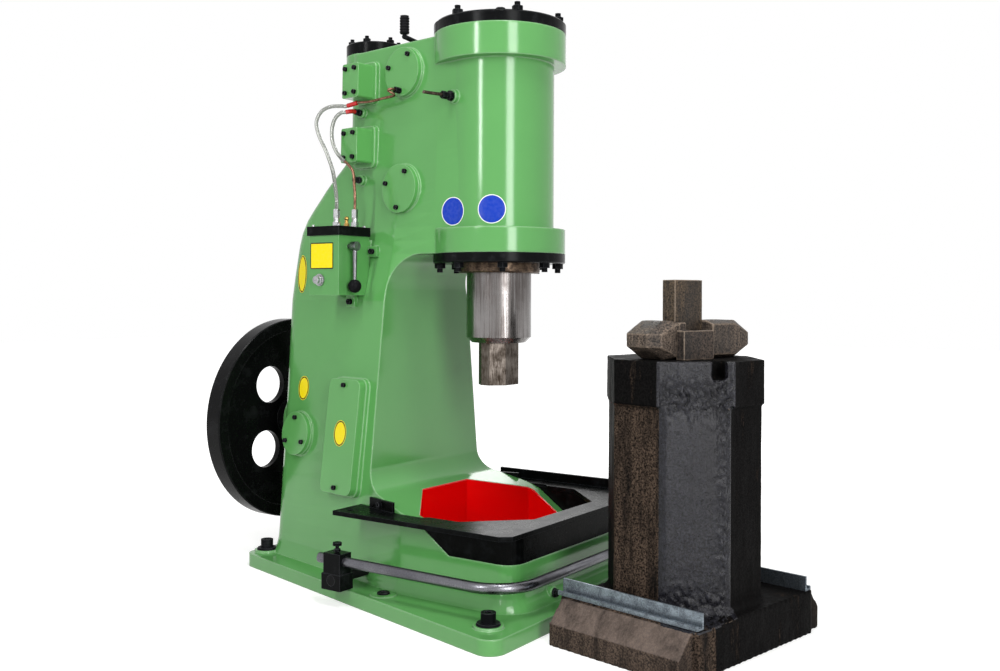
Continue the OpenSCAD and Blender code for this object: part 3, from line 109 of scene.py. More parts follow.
def machine_enamel(name, colour, shade, edge, red_pit=False):
    """Sprayed gloss enamel: waves of the filler below, orange peel, painted highlights on rounded edges,
    dust low down.

    The peel is drawn a little coarser than it is, so that it shows.
    """
    material, tree, shader, place = start_material(name)
    rounded = add(tree, "Bevel", {"Radius": edge}, samples=6)
    cloud = add(tree, "TexNoise", {"Vector": place, "Scale": per_mm(260), "Detail": 4.0, "Roughness": 0.6})
    body = add(tree, "Mix", {0: cloud.outputs["Fac"], 6: linear(colour), 7: linear(shade)},
               data_type="RGBA")
    axes = add(tree, "SeparateXYZ", {"Vector": place})
    grit = add(tree, "TexNoise", {"Vector": place, "Scale": per_mm(14), "Detail": 6.0, "Roughness": 0.7})
    low = add(tree, "MapRange", {"Value": axes.outputs["Z"], "From Min": 0.0, "From Max": DUST_HEIGHT,
                                 "To Min": 0.10, "To Max": 0.0})
    dusty = add(tree, "Math", {0: low.outputs["Result"], 1: grit.outputs["Fac"]}, operation="MULTIPLY")
    # Rounded edges, outer and inner, are painted pale green as highlights.
    edge_highlight = add(tree, "Mix", {0: edge_highlight_mask(tree, rounded, 0.55), 6: body.outputs[2], 7: linear(EDGE_HIGHLIGHT_GREEN)},
               data_type="RGBA")
    colour_out = add(tree, "Mix", {0: dusty.outputs[0], 6: edge_highlight.outputs[2], 7: linear(FLOOR_DUST)},
                     data_type="RGBA").outputs[2]
    if red_pit:
        # Red lies inside the pit's outline: its side, rear and front walls, its slanted corners and its top.
        across = add(tree, "Math", {0: axes.outputs["X"]}, operation="ABSOLUTE").outputs[0]
        ahead = add(tree, "Math", {0: axes.outputs["Y"], 1: -1.0}, operation="MULTIPLY").outputs[0]
        front_corner = add(tree, "Math", {0: across, 1: ahead}, operation="ADD").outputs[0]
        rear_corner = add(tree, "Math", {0: across, 1: PIT_REAR_SLOPE, 2: axes.outputs["Y"]},
                          operation="MULTIPLY_ADD").outputs[0]
        inside = 1.0
        for value, limit in ((across, PIT_HALF_WIDTH), (axes.outputs["Y"], PIT_REAR), (ahead, PIT_FRONT),
                             (front_corner, PIT_FRONT_CORNER), (rear_corner, PIT_REAR_CORNER),
                             (axes.outputs["Z"], PIT_TOP)):
            below = add(tree, "Math", {0: value, 1: limit}, operation="LESS_THAN").outputs[0]
            inside = add(tree, "Math", {0: inside, 1: below}, operation="MULTIPLY").outputs[0]
        colour_out = add(tree, "Mix", {0: inside, 6: colour_out, 7: linear(PIT_RED)},
                         data_type="RGBA").outputs[2]
    tree.links.new(colour_out, shader.inputs["Base Color"])
    gloss = add(tree, "MapRange", {"Value": grit.outputs["Fac"], "From Min": 0.3, "From Max": 0.7,
                                   "To Min": 0.11, "To Max": 0.17})
    rough = add(tree, "Math", {0: gloss.outputs["Result"], 1: dusty.outputs[0]}, operation="ADD")
    tree.links.new(rough.outputs[0], shader.inputs["Roughness"])
    filler = add(tree, "TexNoise", {"Vector": place, "Scale": per_mm(95), "Detail": 1.0})
    waves = add(tree, "Bump", {"Strength": 0.15, "Distance": 0.0012, "Height": filler.outputs["Fac"],
                               "Normal": rounded.outputs[0]})
    peel = add(tree, "TexNoise", {"Vector": place, "Scale": per_mm(5), "Detail": 2.0})
    sprayed = add(tree, "Bump", {"Strength": 0.04, "Distance": 0.0006, "Height": peel.outputs["Fac"],
                                 "Normal": waves.outputs[0]})
    tree.links.new(sprayed.outputs[0], shader.inputs["Normal"])
    shader.inputs["IOR"].default_value = 1.5
    shader.inputs["Specular IOR Level"].default_value = 0.45
    return material


wear(machine_enamel("green_enamel_on_cast_iron", FRAME_GREEN, FRAME_SHADE, edge=0.008, red_pit=True),
     "frame")


# Round valve covers, square port covers, the crank case plate and the bearing cover.
# They are milled iron plates, sprayed with the frame's enamel and screwed to the casting.
wear(machine_enamel("green_enamel_on_covers", "#5fa259", "#579952", edge=0.003),
     "upper_valve_cover", "lower_valve_cover", "upper_port_cover", "lower_port_cover",
     "access_cover", "bearing_cover")


# Cylinder covers and the ring under the hammer cylinder: turned iron, brushed with black satin enamel.
# The oil box lid and the treadle's clamps have the same coat; it is rubbed in spots, and its edges are
# painted lighter as highlights.
BLACK_COAT = "#0c0d0e"
BLACK_RUBBED_AND_HIGHLIGHT = "#3a3b3e"


def black_coat(name, colour, rubbed_and_highlight, roughness, grain, shine=0.03):
    """A black coat, brushed, sprayed or moulded: rubbed spots and painted edge highlights on a finely
    grained skin.
    """
    material, tree, shader, place = start_material(name)
    spots = add(tree, "TexNoise", {"Vector": place, "Scale": per_mm(38), "Detail": 8.0, "Roughness": 0.65})
    worn = add(tree, "MapRange", {"Value": spots.outputs["Fac"], "From Min": 0.52, "From Max": 0.74,
                                  "To Min": 0.0, "To Max": 0.35})
    rounded = add(tree, "Bevel", {"Radius": 0.0025}, samples=6)
    # Rubbed spots are wear; the edges are painted lighter as highlights.
    worn_and_edge_highlight = add(tree, "Math", {0: worn.outputs["Result"], 1: edge_highlight_mask(tree, rounded, 1.0)},
                 operation="MAXIMUM")
    body = add(tree, "Mix", {0: worn_and_edge_highlight.outputs[0], 6: linear(colour), 7: linear(rubbed_and_highlight)}, data_type="RGBA")
    tree.links.new(body.outputs[2], shader.inputs["Base Color"])
    sheen = add(tree, "MapRange", {"Value": spots.outputs["Fac"], "From Min": 0.3, "From Max": 0.7,
                                   "To Min": roughness - 0.07, "To Max": roughness + 0.10})
    tree.links.new(sheen.outputs["Result"], shader.inputs["Roughness"])
    coat = add(tree, "TexNoise", {"Vector": place, "Scale": per_mm(grain), "Detail": 4.0, "Roughness": 0.6})
    rough = add(tree, "Bump", {"Strength": 0.25, "Distance": 0.0008, "Height": coat.outputs["Fac"],
                               "Normal": rounded.outputs[0]})
    tree.links.new(rough.outputs[0], shader.inputs["Normal"])
    shader.inputs["IOR"].default_value = 1.5
    shader.inputs["Specular IOR Level"].default_value = shine
    return material


wear(black_coat("black_enamel_on_iron", BLACK_COAT, BLACK_RUBBED_AND_HIGHLIGHT, roughness=0.20, grain=4, shine=0.05),
     "front_cover", "rear_cover", "bottom_cover", "oil_box_lid", "treadle_clamps")


# Studs, nuts, socket screws, plugs and bolts: hardened steel, blacked in hot oxide salts and oiled.
# The thin oxide lets the steel shine through where a key has rubbed it. The flywheel's end plate, the unions
# on the wall and the hand lever are blacked in the same way.
wear(black_coat("oiled_black_oxide", "#0c0d0f", "#4c4d51", roughness=0.40, grain=2),
     "front_cover_nuts", "cover_plug", "rear_cover_nuts", "bottom_cover_nuts", "valve_cover_screws",
     "port_cover_screws", "access_cover_screws", "bearing_cover_screws", "drain_plug", "foundation_bolts",
     "foundation_washers", "oil_box_bolts", "oil_inlets", "cylinder_oil_inlet", "tray_screws",
     "flywheel_plate", "treadle_clamp_screws", "hand_lever")


# Side hole plugs: two round steel plugs that close the foundation holes left free at the sides of the base.
# They are turned with a flat head and a round socket, blacked like the screws and dropped into their holes.
SIDE_HOLE_X = 0.364
SIDE_HOLE_Y = 0.108
SIDE_SEAT_TOP = 0.0404
PLUG_HEAD_RADIUS = 0.0165
PLUG_HEAD_HEIGHT = 0.0050
PLUG_SOCKET_WALL = 0.0080
PLUG_SOCKET_DEPTH = 0.0034
PLUG_STEM_STEP = 0.0035
PLUG_STEM_LENGTH = 0.0260
PLUG_EDGE = 0.0007
for side, name in ((-1, "side_plug_left"), (1, "side_plug_right")):
    bpy.ops.object.select_all(action="DESELECT")
    bpy.ops.mesh.primitive_cylinder_add(vertices=48, radius=PLUG_HEAD_RADIUS, depth=PLUG_HEAD_HEIGHT,
                                        location=(side * SIDE_HOLE_X, SIDE_HOLE_Y,
                                                  SIDE_SEAT_TOP + PLUG_HEAD_HEIGHT / 2))
    plug = bpy.context.object
    plug.name = name
    bpy.ops.object.transform_apply(location=True, rotation=True, scale=True)
    for up, step, length in ((1, PLUG_SOCKET_WALL, -PLUG_SOCKET_DEPTH),
                             (-1, PLUG_STEM_STEP, -PLUG_STEM_LENGTH)):
        bpy.ops.object.mode_set(mode="EDIT")
        bpy.ops.mesh.select_mode(type="FACE")
        bpy.ops.mesh.select_all(action="DESELECT")
        bpy.ops.object.mode_set(mode="OBJECT")
        ends = [face for face in plug.data.polygons if face.normal.z * up > 0.9]
        max(ends, key=lambda face: face.center.z * up).select = True
        bpy.ops.object.mode_set(mode="EDIT")
        bpy.ops.mesh.inset(thickness=step)
        bpy.ops.mesh.extrude_region_move(TRANSFORM_OT_translate={"value": (0.0, 0.0, length)})
        bpy.ops.object.mode_set(mode="OBJECT")
    edge = plug.modifiers.new("edge", "BEVEL")
    edge.width = PLUG_EDGE
    edge.segments = 2
    edge.limit_method = "ANGLE"
    bpy.ops.object.modifier_apply(modifier="edge")
    bpy.ops.object.shade_smooth_by_angle(angle=math.radians(35))
    plug.data.materials.append(nodes["foundation_bolts"].data.materials[0])
    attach(plug, "hammer")


# Packing gland and crank bush: cast bronze rings, pressed or screwed in.
# The gland is brown with old oil and scale, and the bush keeps some of its yellow.
def bare_metal(name, pale, dark, roughness, marks, patch=22, bump=0.25):
    """Bare metal with tool marks, so many in 100 mm along x, y and z, and stains in patches.

    Real tool marks are finer than the picture can show, so they are drawn as coarse as they need to be.
    """
    material, tree, shader, place = start_material(name)
    drawn = add(tree, "Mapping", {"Vector": place, "Scale": [per_mm(100 / count) for count in marks]})
    lines = add(tree, "TexNoise", {"Vector": drawn.outputs[0], "Scale": 1.0, "Detail": 6.0,
                                   "Roughness": 0.65})
    patches = add(tree, "TexNoise", {"Vector": place, "Scale": per_mm(patch), "Detail": 7.0,
                                     "Roughness": 0.62})
    both = add(tree, "Math", {0: lines.outputs["Fac"], 1: patches.outputs["Fac"]}, operation="ADD")
    stain = add(tree, "MapRange", {"Value": both.outputs[0], "From Min": 0.82, "From Max": 1.18,
                                   "To Min": 0.0, "To Max": 1.0})
    body = add(tree, "Mix", {0: stain.outputs["Result"], 6: linear(pale), 7: linear(dark)},
               data_type="RGBA")
    tree.links.new(body.outputs[2], shader.inputs["Base Color"])
    finish = add(tree, "MapRange", {"Value": stain.outputs["Result"], "From Min": 0.0, "From Max": 1.0,
                                    "To Min": roughness - 0.06, "To Max": roughness + 0.16})
    tree.links.new(finish.outputs["Result"], shader.inputs["Roughness"])
    rounded = add(tree, "Bevel", {"Radius": 0.0012}, samples=4)
    scored = add(tree, "Bump", {"Strength": bump, "Distance": 0.0005, "Height": lines.outputs["Fac"],
                                "Normal": rounded.outputs[0]})
    tree.links.new(scored.outputs[0], shader.inputs["Normal"])
    shader.inputs["Metallic"].default_value = 1.0
    return material


wear(bare_metal("stained_gland_bronze", "#6b5a4b", "#332b26", roughness=0.45, marks=(16, 16, 50), patch=16),
     "gland")
wear(bare_metal("bush_bronze", "#b08a4c", "#7d6136", roughness=0.34, marks=(20, 70, 20)), "crank_bearing")


# Ram and its die: a forged steel cylinder, ground to slide in the gland, with a keyed steel die below.
# The ground face is scored along the stroke, and the die is left as it came off the saw, going brown.
wear(bare_metal("ground_ram_steel", "#8b8887", "#575250", roughness=0.20, marks=(20, 20, 0.5),
                patch=180, bump=0.20), "ram")
wear(bare_metal("sawn_die_steel", "#655e58", "#3a322b", roughness=0.46, marks=(42, 42, 4), patch=30),
     "upper_die")


# Tray: folded steel sheet round the pit, sprayed black, scuffed where hot stock and tongs are laid down.
# It is held to the housing by two screws through its ears.
wear(black_coat("scuffed_black_tray_enamel", "#070808", "#2c2e32", roughness=0.27, grain=6), "tray")


# Flywheel: grey iron, rim and face turned, web left as cast, all in black satin enamel.
# It is keyed on the crankshaft and held by an end plate, and the shaft and its key are bare turned steel.
wear(black_coat("black_wheel_enamel", "#0a0a0b", "#2a2b2d", roughness=0.24, grain=7, shine=0.08),
     "flywheel")
wear(bare_metal("turned_shaft_steel", "#b4b4b4", "#7b7a79", roughness=0.30, marks=(6, 90, 6)),
     "crankshaft", "flywheel_key")


# Treadle bar: cold drawn round steel, bent hot into a loop round the base and clamped to its shaft.
# The bar is bare and handled, with draw lines and dull stains, and the shaft is oiled black.
wear(bare_metal("drawn_bar_steel", "#77777c", "#55545a", roughness=0.30, marks=(1.2, 30, 30),
                patch=160, bump=0.12), "treadle_bar")
wear(black_coat("oiled_shaft_black", "#1a1a1b", "#3c3c3e", roughness=0.42, grain=3), "treadle_shaft")


# Oil box: an iron pump body bolted to the wall, sprayed green like the frame.
# Plated steel unions, a sight plug and the turning handle stand on it, and the vent is brass.
# The handle's ball is moulded plastic, and the grip of the hand lever on top of the machine is rubber.
wear(machine_enamel("green_enamel_on_oil_box", "#5b9b56", "#51904d", edge=0.002), "oil_box")
wear(bare_metal("plated_fitting_steel", "#c3c3c6", "#8b8b8d", roughness=0.26, marks=(30, 30, 30), patch=9),
     "oil_box_lid_screws", "oil_sight_plug", "oil_outlets")
wear(bare_metal("handle_steel", "#86868b", "#57565a", roughness=0.30, marks=(30, 30, 6), patch=40),
     "pump_lever")
wear(bare_metal("fitting_brass", "#c2a15c", "#8a6d38", roughness=0.30, marks=(30, 30, 30), patch=9),
     "oil_vent")
wear(black_coat("moulded_black_plastic", "#141416", "#232325", roughness=0.28, grain=3), "pump_ball")
wear(black_coat("black_grip_rubber", "#18181a", "#2c2c2e", roughness=0.55, grain=2), "hand_lever_grip")


# Signs: printed vinyl film, two blue discs on the cylinder, yellow ovals on the wall and on the crank case
# plate, and a yellow plate on the oil box. They are cut to shape and pressed on flat or round the curve.
FILM_FADED = "#d8d8d6"


def printed_film(name, colour):
    """Glossy printed film with a faint ripple from the paint below."""
    material, tree, shader, place = start_material(name)
    ripple = add(tree, "TexNoise", {"Vector": place, "Scale": per_mm(9), "Detail": 3.0})
    fade = add(tree, "MapRange", {"Value": ripple.outputs["Fac"], "From Min": 0.3, "From Max": 0.7,
                                  "To Min": 0.0, "To Max": 0.03})
    ink = add(tree, "Mix", {0: fade.outputs["Result"], 6: linear(colour), 7: linear(FILM_FADED)},
              data_type="RGBA")
    tree.links.new(ink.outputs[2], shader.inputs["Base Color"])
    bumps = add(tree, "Bump", {"Strength": 0.10, "Distance": 0.0004, "Height": ripple.outputs["Fac"]})
    tree.links.new(bumps.outputs[0], shader.inputs["Normal"])
    shader.inputs["Roughness"].default_value = 0.24
    shader.inputs["Specular IOR Level"].default_value = 0.20
    return material


WHITE_FILM = printed_film("white_printed_film", "#f2f2ef")
BLUE_FILM = printed_film("blue_printed_film", "#0737ae")
YELLOW_FILM = printed_film("yellow_printed_film", "#f2dc05")
BLACK_FILM = printed_film("black_printed_film", "#101010")
FILM_LIFT = 0.0006
FILM_THICK = 0.0004
FILM_CORNER = 0.004


def sign(name, node, place, facing, size, rings, square=False, lean=0.0):
    """A blank film cut round or square, banded from its edge inwards, and pressed on a CAD node."""
    bpy.ops.object.select_all(action="DESELECT")
    upright = Vector(facing).to_track_quat("Z", "Y")
    turn = (upright @ Quaternion((0.0, 0.0, 1.0), math.radians(lean))).to_euler()
    if square:
        bpy.ops.mesh.primitive_plane_add(size=1.0, location=place, rotation=turn)
    else:
        bpy.ops.mesh.primitive_circle_add(vertices=72, radius=0.5, fill_type="NGON",
                                          location=place, rotation=turn)
    film = bpy.context.object
    film.name = name
    film.scale = (size[0], size[1], 1.0)
    bpy.ops.object.transform_apply(location=True, rotation=True, scale=True)
    bpy.ops.object.mode_set(mode="EDIT")
    bpy.ops.mesh.select_all(action="SELECT")
    if square:
        bpy.ops.mesh.bevel(offset=FILM_CORNER, segments=4, affect="VERTICES")
        bpy.ops.mesh.select_all(action="SELECT")
    for i, (material, width) in enumerate(rings):
        film.data.materials.append(material)
        film.active_material_index = i
        bpy.ops.object.material_slot_assign()
        if width:
            bpy.ops.mesh.inset(thickness=width)
    bpy.ops.mesh.poke()
    bpy.ops.mesh.subdivide(number_cuts=3)
    bpy.ops.object.mode_set(mode="OBJECT")
    press = film.modifiers.new("press", "SHRINKWRAP")
    press.target = nodes[node]
    press.wrap_method = "NEAREST_SURFACEPOINT"
    press.wrap_mode = "ABOVE_SURFACE"
    press.offset = FILM_LIFT
    bpy.ops.object.modifier_apply(modifier="press")
    sheet = film.modifiers.new("sheet", "SOLIDIFY")
    sheet.thickness = FILM_THICK
    sheet.offset = -1.0
    bpy.ops.object.modifier_apply(modifier="sheet")
    bpy.ops.object.shade_smooth_by_angle(angle=math.radians(40))
    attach(film, "hammer")


BLUE_RINGS = [(WHITE_FILM, 0.0022), (BLUE_FILM, 0.0)]
YELLOW_RINGS = [(YELLOW_FILM, 0.0016), (BLACK_FILM, 0.0034), (YELLOW_FILM, 0.0)]
PLATE_RINGS = [(BLACK_FILM, 0.0030), (YELLOW_FILM, 0.0)]
BLUE_DISC = (0.078, 0.078)
sign("blue_sign_left", "frame", place=(-0.1510, 0.0489, 1.0456), facing=(-1.0, 0.0, 0.0),
     size=BLUE_DISC, rings=BLUE_RINGS)
sign("blue_sign_right", "frame", place=(-0.1364, -0.0701, 1.0480), facing=(-0.888, -0.460, 0.0),
     size=BLUE_DISC, rings=BLUE_RINGS)
sign("yellow_sign_back", "frame", place=(-0.1253, 0.6467, 0.8798), facing=(-0.962, 0.125, 0.243),
     size=(0.042, 0.124), rings=YELLOW_RINGS, lean=17.0)
sign("yellow_sign_wall", "frame", place=(-0.1725, 0.5915, 0.5363), facing=(-0.989, 0.129, 0.075),
     size=(0.051, 0.072), rings=YELLOW_RINGS)
sign("yellow_sign_cover", "access_cover", place=(-0.2552, 0.3655, 0.4261), facing=(-0.979, 0.167, 0.114),
     size=(0.056, 0.073), rings=YELLOW_RINGS)
sign("yellow_box_plate", "oil_box", place=(-0.2891, 0.4062, 0.9258), facing=(-1.0, 0.0, 0.0),
     size=(0.088, 0.074), rings=PLATE_RINGS, square=True)


# Oil tubes: two clear vinyl hoses with red end sleeves shrunk on by heat, and soft copper pipes, one below
# the front hose and one on to the cylinder. The hoses push on to unions, and the copper is bent by hand.
def vinyl(name, colour, transmission, roughness):
    """Extruded vinyl with faint ripples along the tube."""
    material, tree, shader, place = start_material(name)
    ripple = add(tree, "TexNoise", {"Vector": place, "Scale": per_mm(7), "Detail": 3.0})
    tone = add(tree, "MapRange", {"Value": ripple.outputs["Fac"], "From Min": 0.3, "From Max": 0.7,
                                  "To Min": roughness, "To Max": roughness + 0.12})
    tree.links.new(tone.outputs["Result"], shader.inputs["Roughness"])
    bumps = add(tree, "Bump", {"Strength": 0.2, "Distance": 0.0006, "Height": ripple.outputs["Fac"]})
    tree.links.new(bumps.outputs[0], shader.inputs["Normal"])
    shade = add(tree, "Mix", {0: ripple.outputs["Fac"], 6: linear(colour[0]), 7: linear(colour[1])},
                data_type="RGBA")
    tree.links.new(shade.outputs[2], shader.inputs["Base Color"])
    shader.inputs["Transmission Weight"].default_value = transmission
    shader.inputs["IOR"].default_value = 1.53
    return material


CLEAR_VINYL = vinyl("clear_vinyl_hose", ("#a8aaa4", "#888a85"), transmission=0.66, roughness=0.10)
COPPER = bare_metal("hand_bent_copper", "#94705c", "#53392c", roughness=0.32, marks=(20, 20, 20), patch=12)
HOSE_RADIUS = 0.0055
COPPER_RADIUS = 0.0042
REAR_ROUTE = [(-0.2451, 0.3920, 1.0594), (-0.2451, 0.3920, 1.0890), (-0.2400, 0.4020, 1.1220),
              (-0.2310, 0.4220, 1.1740), (-0.2220, 0.4560, 1.2310), (-0.2120, 0.4940, 1.2800),
              (-0.2030, 0.5140, 1.3220), (-0.1930, 0.5040, 1.3540), (-0.1840, 0.4780, 1.3670),
              (-0.1700, 0.4510, 1.3690), (-0.1630, 0.4370, 1.3675), (-0.1616, 0.4295, 1.3689)]
FRONT_COPPER = [(-0.2091, 0.3550, 1.0594), (-0.2091, 0.3550, 1.0990), (-0.2110, 0.3560, 1.1300),
                (-0.2080, 0.3640, 1.1680), (-0.2040, 0.3890, 1.1920), (-0.2030, 0.4025, 1.2010)]
FRONT_ROUTE = [(-0.2033, 0.3990, 1.1987), (-0.2020, 0.4160, 1.2100), (-0.1980, 0.4400, 1.2340),
               (-0.1940, 0.4580, 1.2640), (-0.1900, 0.4640, 1.2980), (-0.1890, 0.4540, 1.3280),
               (-0.1815, 0.4386, 1.3454), (-0.1703, 0.4296, 1.3488)]


def smooth_route(points, steps=6):
    """The points of a smooth curve through a tube's bends."""
    bends = [Vector(p) for p in points]
    bends = [bends[0]] + bends + [bends[-1]]
    route = []
    for a, b, c, d in zip(bends, bends[1:], bends[2:], bends[3:]):
        for i in range(steps):
            t = i / steps
            route.append(0.5 * (2 * b + (c - a) * t + (2 * a - 5 * b + 4 * c - d) * t * t
                                + (3 * b - a - 3 * c + d) * t ** 3))
    return route + [bends[-1]]


def tube(name, points, radius, material):
    """A round tube along a smooth curve, riding on the machine; gives the piece and its length."""
    line = bpy.data.curves.new(name, "CURVE")
    line.dimensions = "3D"
    line.bevel_depth = radius
    line.bevel_resolution = 5
    line.use_fill_caps = True
    route = smooth_route(points)
    spline = line.splines.new("POLY")
    spline.points.add(len(route) - 1)
    for point, place in zip(spline.points, route):
        point.co = (*place, 1.0)
    line.materials.append(material)
    piece = bpy.data.objects.new(name, line)
    bpy.context.collection.objects.link(piece)
    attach(piece, "hammer")
    return piece, sum((b - a).length for a, b in zip(route, route[1:]))


for name, node, route in (("rear_oil_hose", "oil_hose_rear", REAR_ROUTE),
                          ("front_oil_hose", "oil_hose_front", FRONT_ROUTE)):
    hose, length = tube(name, route, HOSE_RADIUS, CLEAR_VINYL)
    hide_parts(node)
tube("front_oil_pipe", FRONT_COPPER, COPPER_RADIUS, COPPER)
wear(COPPER, "copper_pipe")
wear(vinyl("red_shrink_sleeve", ("#c4161b", "#a81317"), transmission=0.0, roughness=0.30), "oil_sleeves")
wear(bare_metal("dark_drawn_tube", "#6d5a52", "#3a2f2b", roughness=0.34, marks=(20, 20, 20), patch=12),
     "copper_stub")


# Anvil: an eight sided block of black iron on a broad foot, with a collar that was burnt off flush on one
# corner. The sides are scaled and going brown, and the left side below the collar is browner and lighter,
# partly rust and partly painted light. The burnt corner is a run of glossy slag, and a rough bead closes
# the joint of block and foot.
POST_CENTRE = Vector((-0.11006, -0.6179, 0.0))
POST_TURN = math.radians(-10.5)
BURNT_TURN = POST_TURN + math.radians(225)
BURNT_SIDE = Vector((math.cos(BURNT_TURN), math.sin(BURNT_TURN), 0.0))
BURNT_ALONG = Vector((-BURNT_SIDE.y, BURNT_SIDE.x, 0.0))
BURNT_FACE = 0.1655
BURNT_HALF = 0.088
LIT_RUSTY_SIDE = Vector((-math.cos(POST_TURN), -math.sin(POST_TURN), 0.0))
LIT_RUSTY_FACE = 0.1690
LIT_RUSTY_BLUR = 0.004
BAR_INNER_EDGE = 0.2375
BAR_BLUR = 0.002
FOOT_TOP = 0.104
COLLAR_BOTTOM = 0.566
CAKED_DUST = "#7a6d66"
RUBBED_IRON_AND_HIGHLIGHT = "#857668"
UPRIGHT_RUN = 0.16
MERGE_WITHIN = 0.00002


def rough_iron(name, dark, mid, rust, shine=0.22, finish=(0.40, 0.72), edges=(0.515, 0.550), grit=0.0014,
               flecks=(0.40, 0.62), weathered_and_lit_side=False):
    """Black iron: scale and rust in upright streaks, sand grains, painted shade in hollows, edges rubbed and
    painted as highlights.

    The sand grains are drawn some millimetres wide, coarser than they are, so that they show.
    """
    material, tree, shader, place = start_material(name)
    runs = add(tree, "Mapping", {"Vector": place, "Scale": (1.0, 1.0, UPRIGHT_RUN)})
    lumps = add(tree, "TexNoise", {"Vector": runs.outputs[0], "Scale": per_mm(42), "Detail": 9.0,
                                   "Roughness": 0.74})
    sand = add(tree, "TexNoise", {"Vector": place, "Scale": per_mm(4.5), "Detail": 5.0, "Roughness": 0.7})
    tone = add(tree, "MapRange", {"Value": sand.outputs["Fac"],
                                  "From Min": flecks[0], "From Max": flecks[1]})
    body = add(tree, "Mix", {0: tone.outputs["Result"], 6: linear(dark), 7: linear(mid)}, data_type="RGBA")
    spread = lumps.outputs["Fac"]
    # The left side below the collar gets more rust colour: partly rust, partly painted light on the side
    # towards the key lamp.
    if weathered_and_lit_side:
        across = add(tree, "VectorMath", {0: place, 1: LIT_RUSTY_SIDE},
                     operation="DOT_PRODUCT").outputs["Value"]
        middle = POST_CENTRE.dot(LIT_RUSTY_SIDE)
        left = add(tree, "MapRange", {"Value": across, "From Min": middle + LIT_RUSTY_FACE - LIT_RUSTY_BLUR,
                                      "From Max": middle + LIT_RUSTY_FACE})
        height = add(tree, "SeparateXYZ", {"Vector": place}).outputs["Z"]
        low = add(tree, "Math", {0: height, 1: COLLAR_BOTTOM}, operation="LESS_THAN")
        rust_and_lit_side = add(tree, "Math", {0: left.outputs["Result"], 1: low.outputs[0]}, operation="MULTIPLY")
        more = add(tree, "MapRange", {"Value": rust_and_lit_side.outputs[0], "To Min": -0.16, "To Max": 0.06})
        spread = add(tree, "Math", {0: spread, 1: more.outputs["Result"]}, operation="ADD").outputs[0]
    bloom = add(tree, "MapRange", {"Value": spread, "From Min": 0.42, "From Max": 0.62,
                                   "To Min": 0.0, "To Max": 0.85})
    patchy = add(tree, "Math", {0: bloom.outputs["Result"], 1: tone.outputs["Result"]},
                 operation="MULTIPLY")
    colour = add(tree, "Mix", {0: patchy.outputs[0], 6: body.outputs[2], 7: linear(rust)},
                 data_type="RGBA")
    if weathered_and_lit_side:
        off_middle = add(tree, "Math", {0: across, 1: middle}, operation="SUBTRACT")
        aside = add(tree, "Math", {0: off_middle.outputs[0]}, operation="ABSOLUTE")
        bars = add(tree, "MapRange", {"Value": aside.outputs[0], "From Min": BAR_INNER_EDGE - BAR_BLUR,
                                      "From Max": BAR_INNER_EDGE + BAR_BLUR,
                                      "To Min": 0.0, "To Max": 0.62})
        facing = add(tree, "NewGeometry", {}).outputs["Normal"]
        slope = add(tree, "SeparateXYZ", {"Vector": facing}).outputs["Z"]
        lying = add(tree, "MapRange", {"Value": slope, "From Min": 0.15, "From Max": 0.45, "To Min": 0.22})
        dust = add(tree, "Math", {0: bars.outputs["Result"], 1: lying.outputs["Result"]},
                   operation="MULTIPLY")
        caked = add(tree, "MapRange", {"Value": spread, "From Min": 0.38, "From Max": 0.66, "To Min": 0.35})
        dust = add(tree, "Math", {0: dust.outputs[0], 1: caked.outputs["Result"]}, operation="MULTIPLY")
        colour = add(tree, "Mix", {0: dust.outputs[0], 6: colour.outputs[2], 7: linear(CAKED_DUST)},
                     data_type="RGBA")
    # Hollows are painted darker as shade; edges are painted lighter, partly rubbed wear and partly
    # highlight.
    relief = add(tree, "NewGeometry", {}).outputs["Pointiness"]
    rubbed_and_highlight = add(tree, "MapRange", {"Value": relief, "From Min": edges[0], "From Max": edges[1],
                                    "To Min": 0.0, "To Max": 0.80})
    hollow_shade = add(tree, "MapRange", {"Value": relief, "From Min": 0.485, "From Max": 0.440,
                                    "To Min": 0.0, "To Max": 0.90})
    colour = add(tree, "Mix", {0: hollow_shade.outputs["Result"], 6: colour.outputs[2], 7: linear(dark)},
                 data_type="RGBA")
    colour = add(tree, "Mix", {0: rubbed_and_highlight.outputs["Result"], 6: colour.outputs[2], 7: linear(RUBBED_IRON_AND_HIGHLIGHT)},
                 data_type="RGBA")
    tree.links.new(colour.outputs[2], shader.inputs["Base Color"])
    gloss = add(tree, "MapRange", {"Value": lumps.outputs["Fac"], "From Min": 0.35, "From Max": 0.65,
                                   "To Min": finish[0], "To Max": finish[1]})
    tree.links.new(gloss.outputs["Result"], shader.inputs["Roughness"])
    wavy = add(tree, "Bump", {"Strength": 0.30, "Distance": 0.003, "Height": lumps.outputs["Fac"]})
    gritty = add(tree, "Bump", {"Strength": 0.60, "Distance": grit, "Height": sand.outputs["Fac"],
                                "Normal": wavy.outputs[0]})
    tree.links.new(gritty.outputs[0], shader.inputs["Normal"])
    shader.inputs["Specular IOR Level"].default_value = shine
    return material


def copy_of(node, name):
    """A copy of a CAD node as an object of its own, its triangles merged, selected and active."""
    bpy.ops.object.select_all(action="DESELECT")
    piece = bpy.data.objects.new(name, nodes[node].data.copy())
    bpy.context.collection.objects.link(piece)
    bpy.context.view_layer.objects.active = piece
    piece.select_set(True)
    bpy.ops.object.mode_set(mode="EDIT")
    bpy.ops.mesh.select_all(action="SELECT")
    bpy.ops.mesh.remove_doubles(threshold=MERGE_WITHIN)
    bpy.ops.object.mode_set(mode="OBJECT")
    return piece


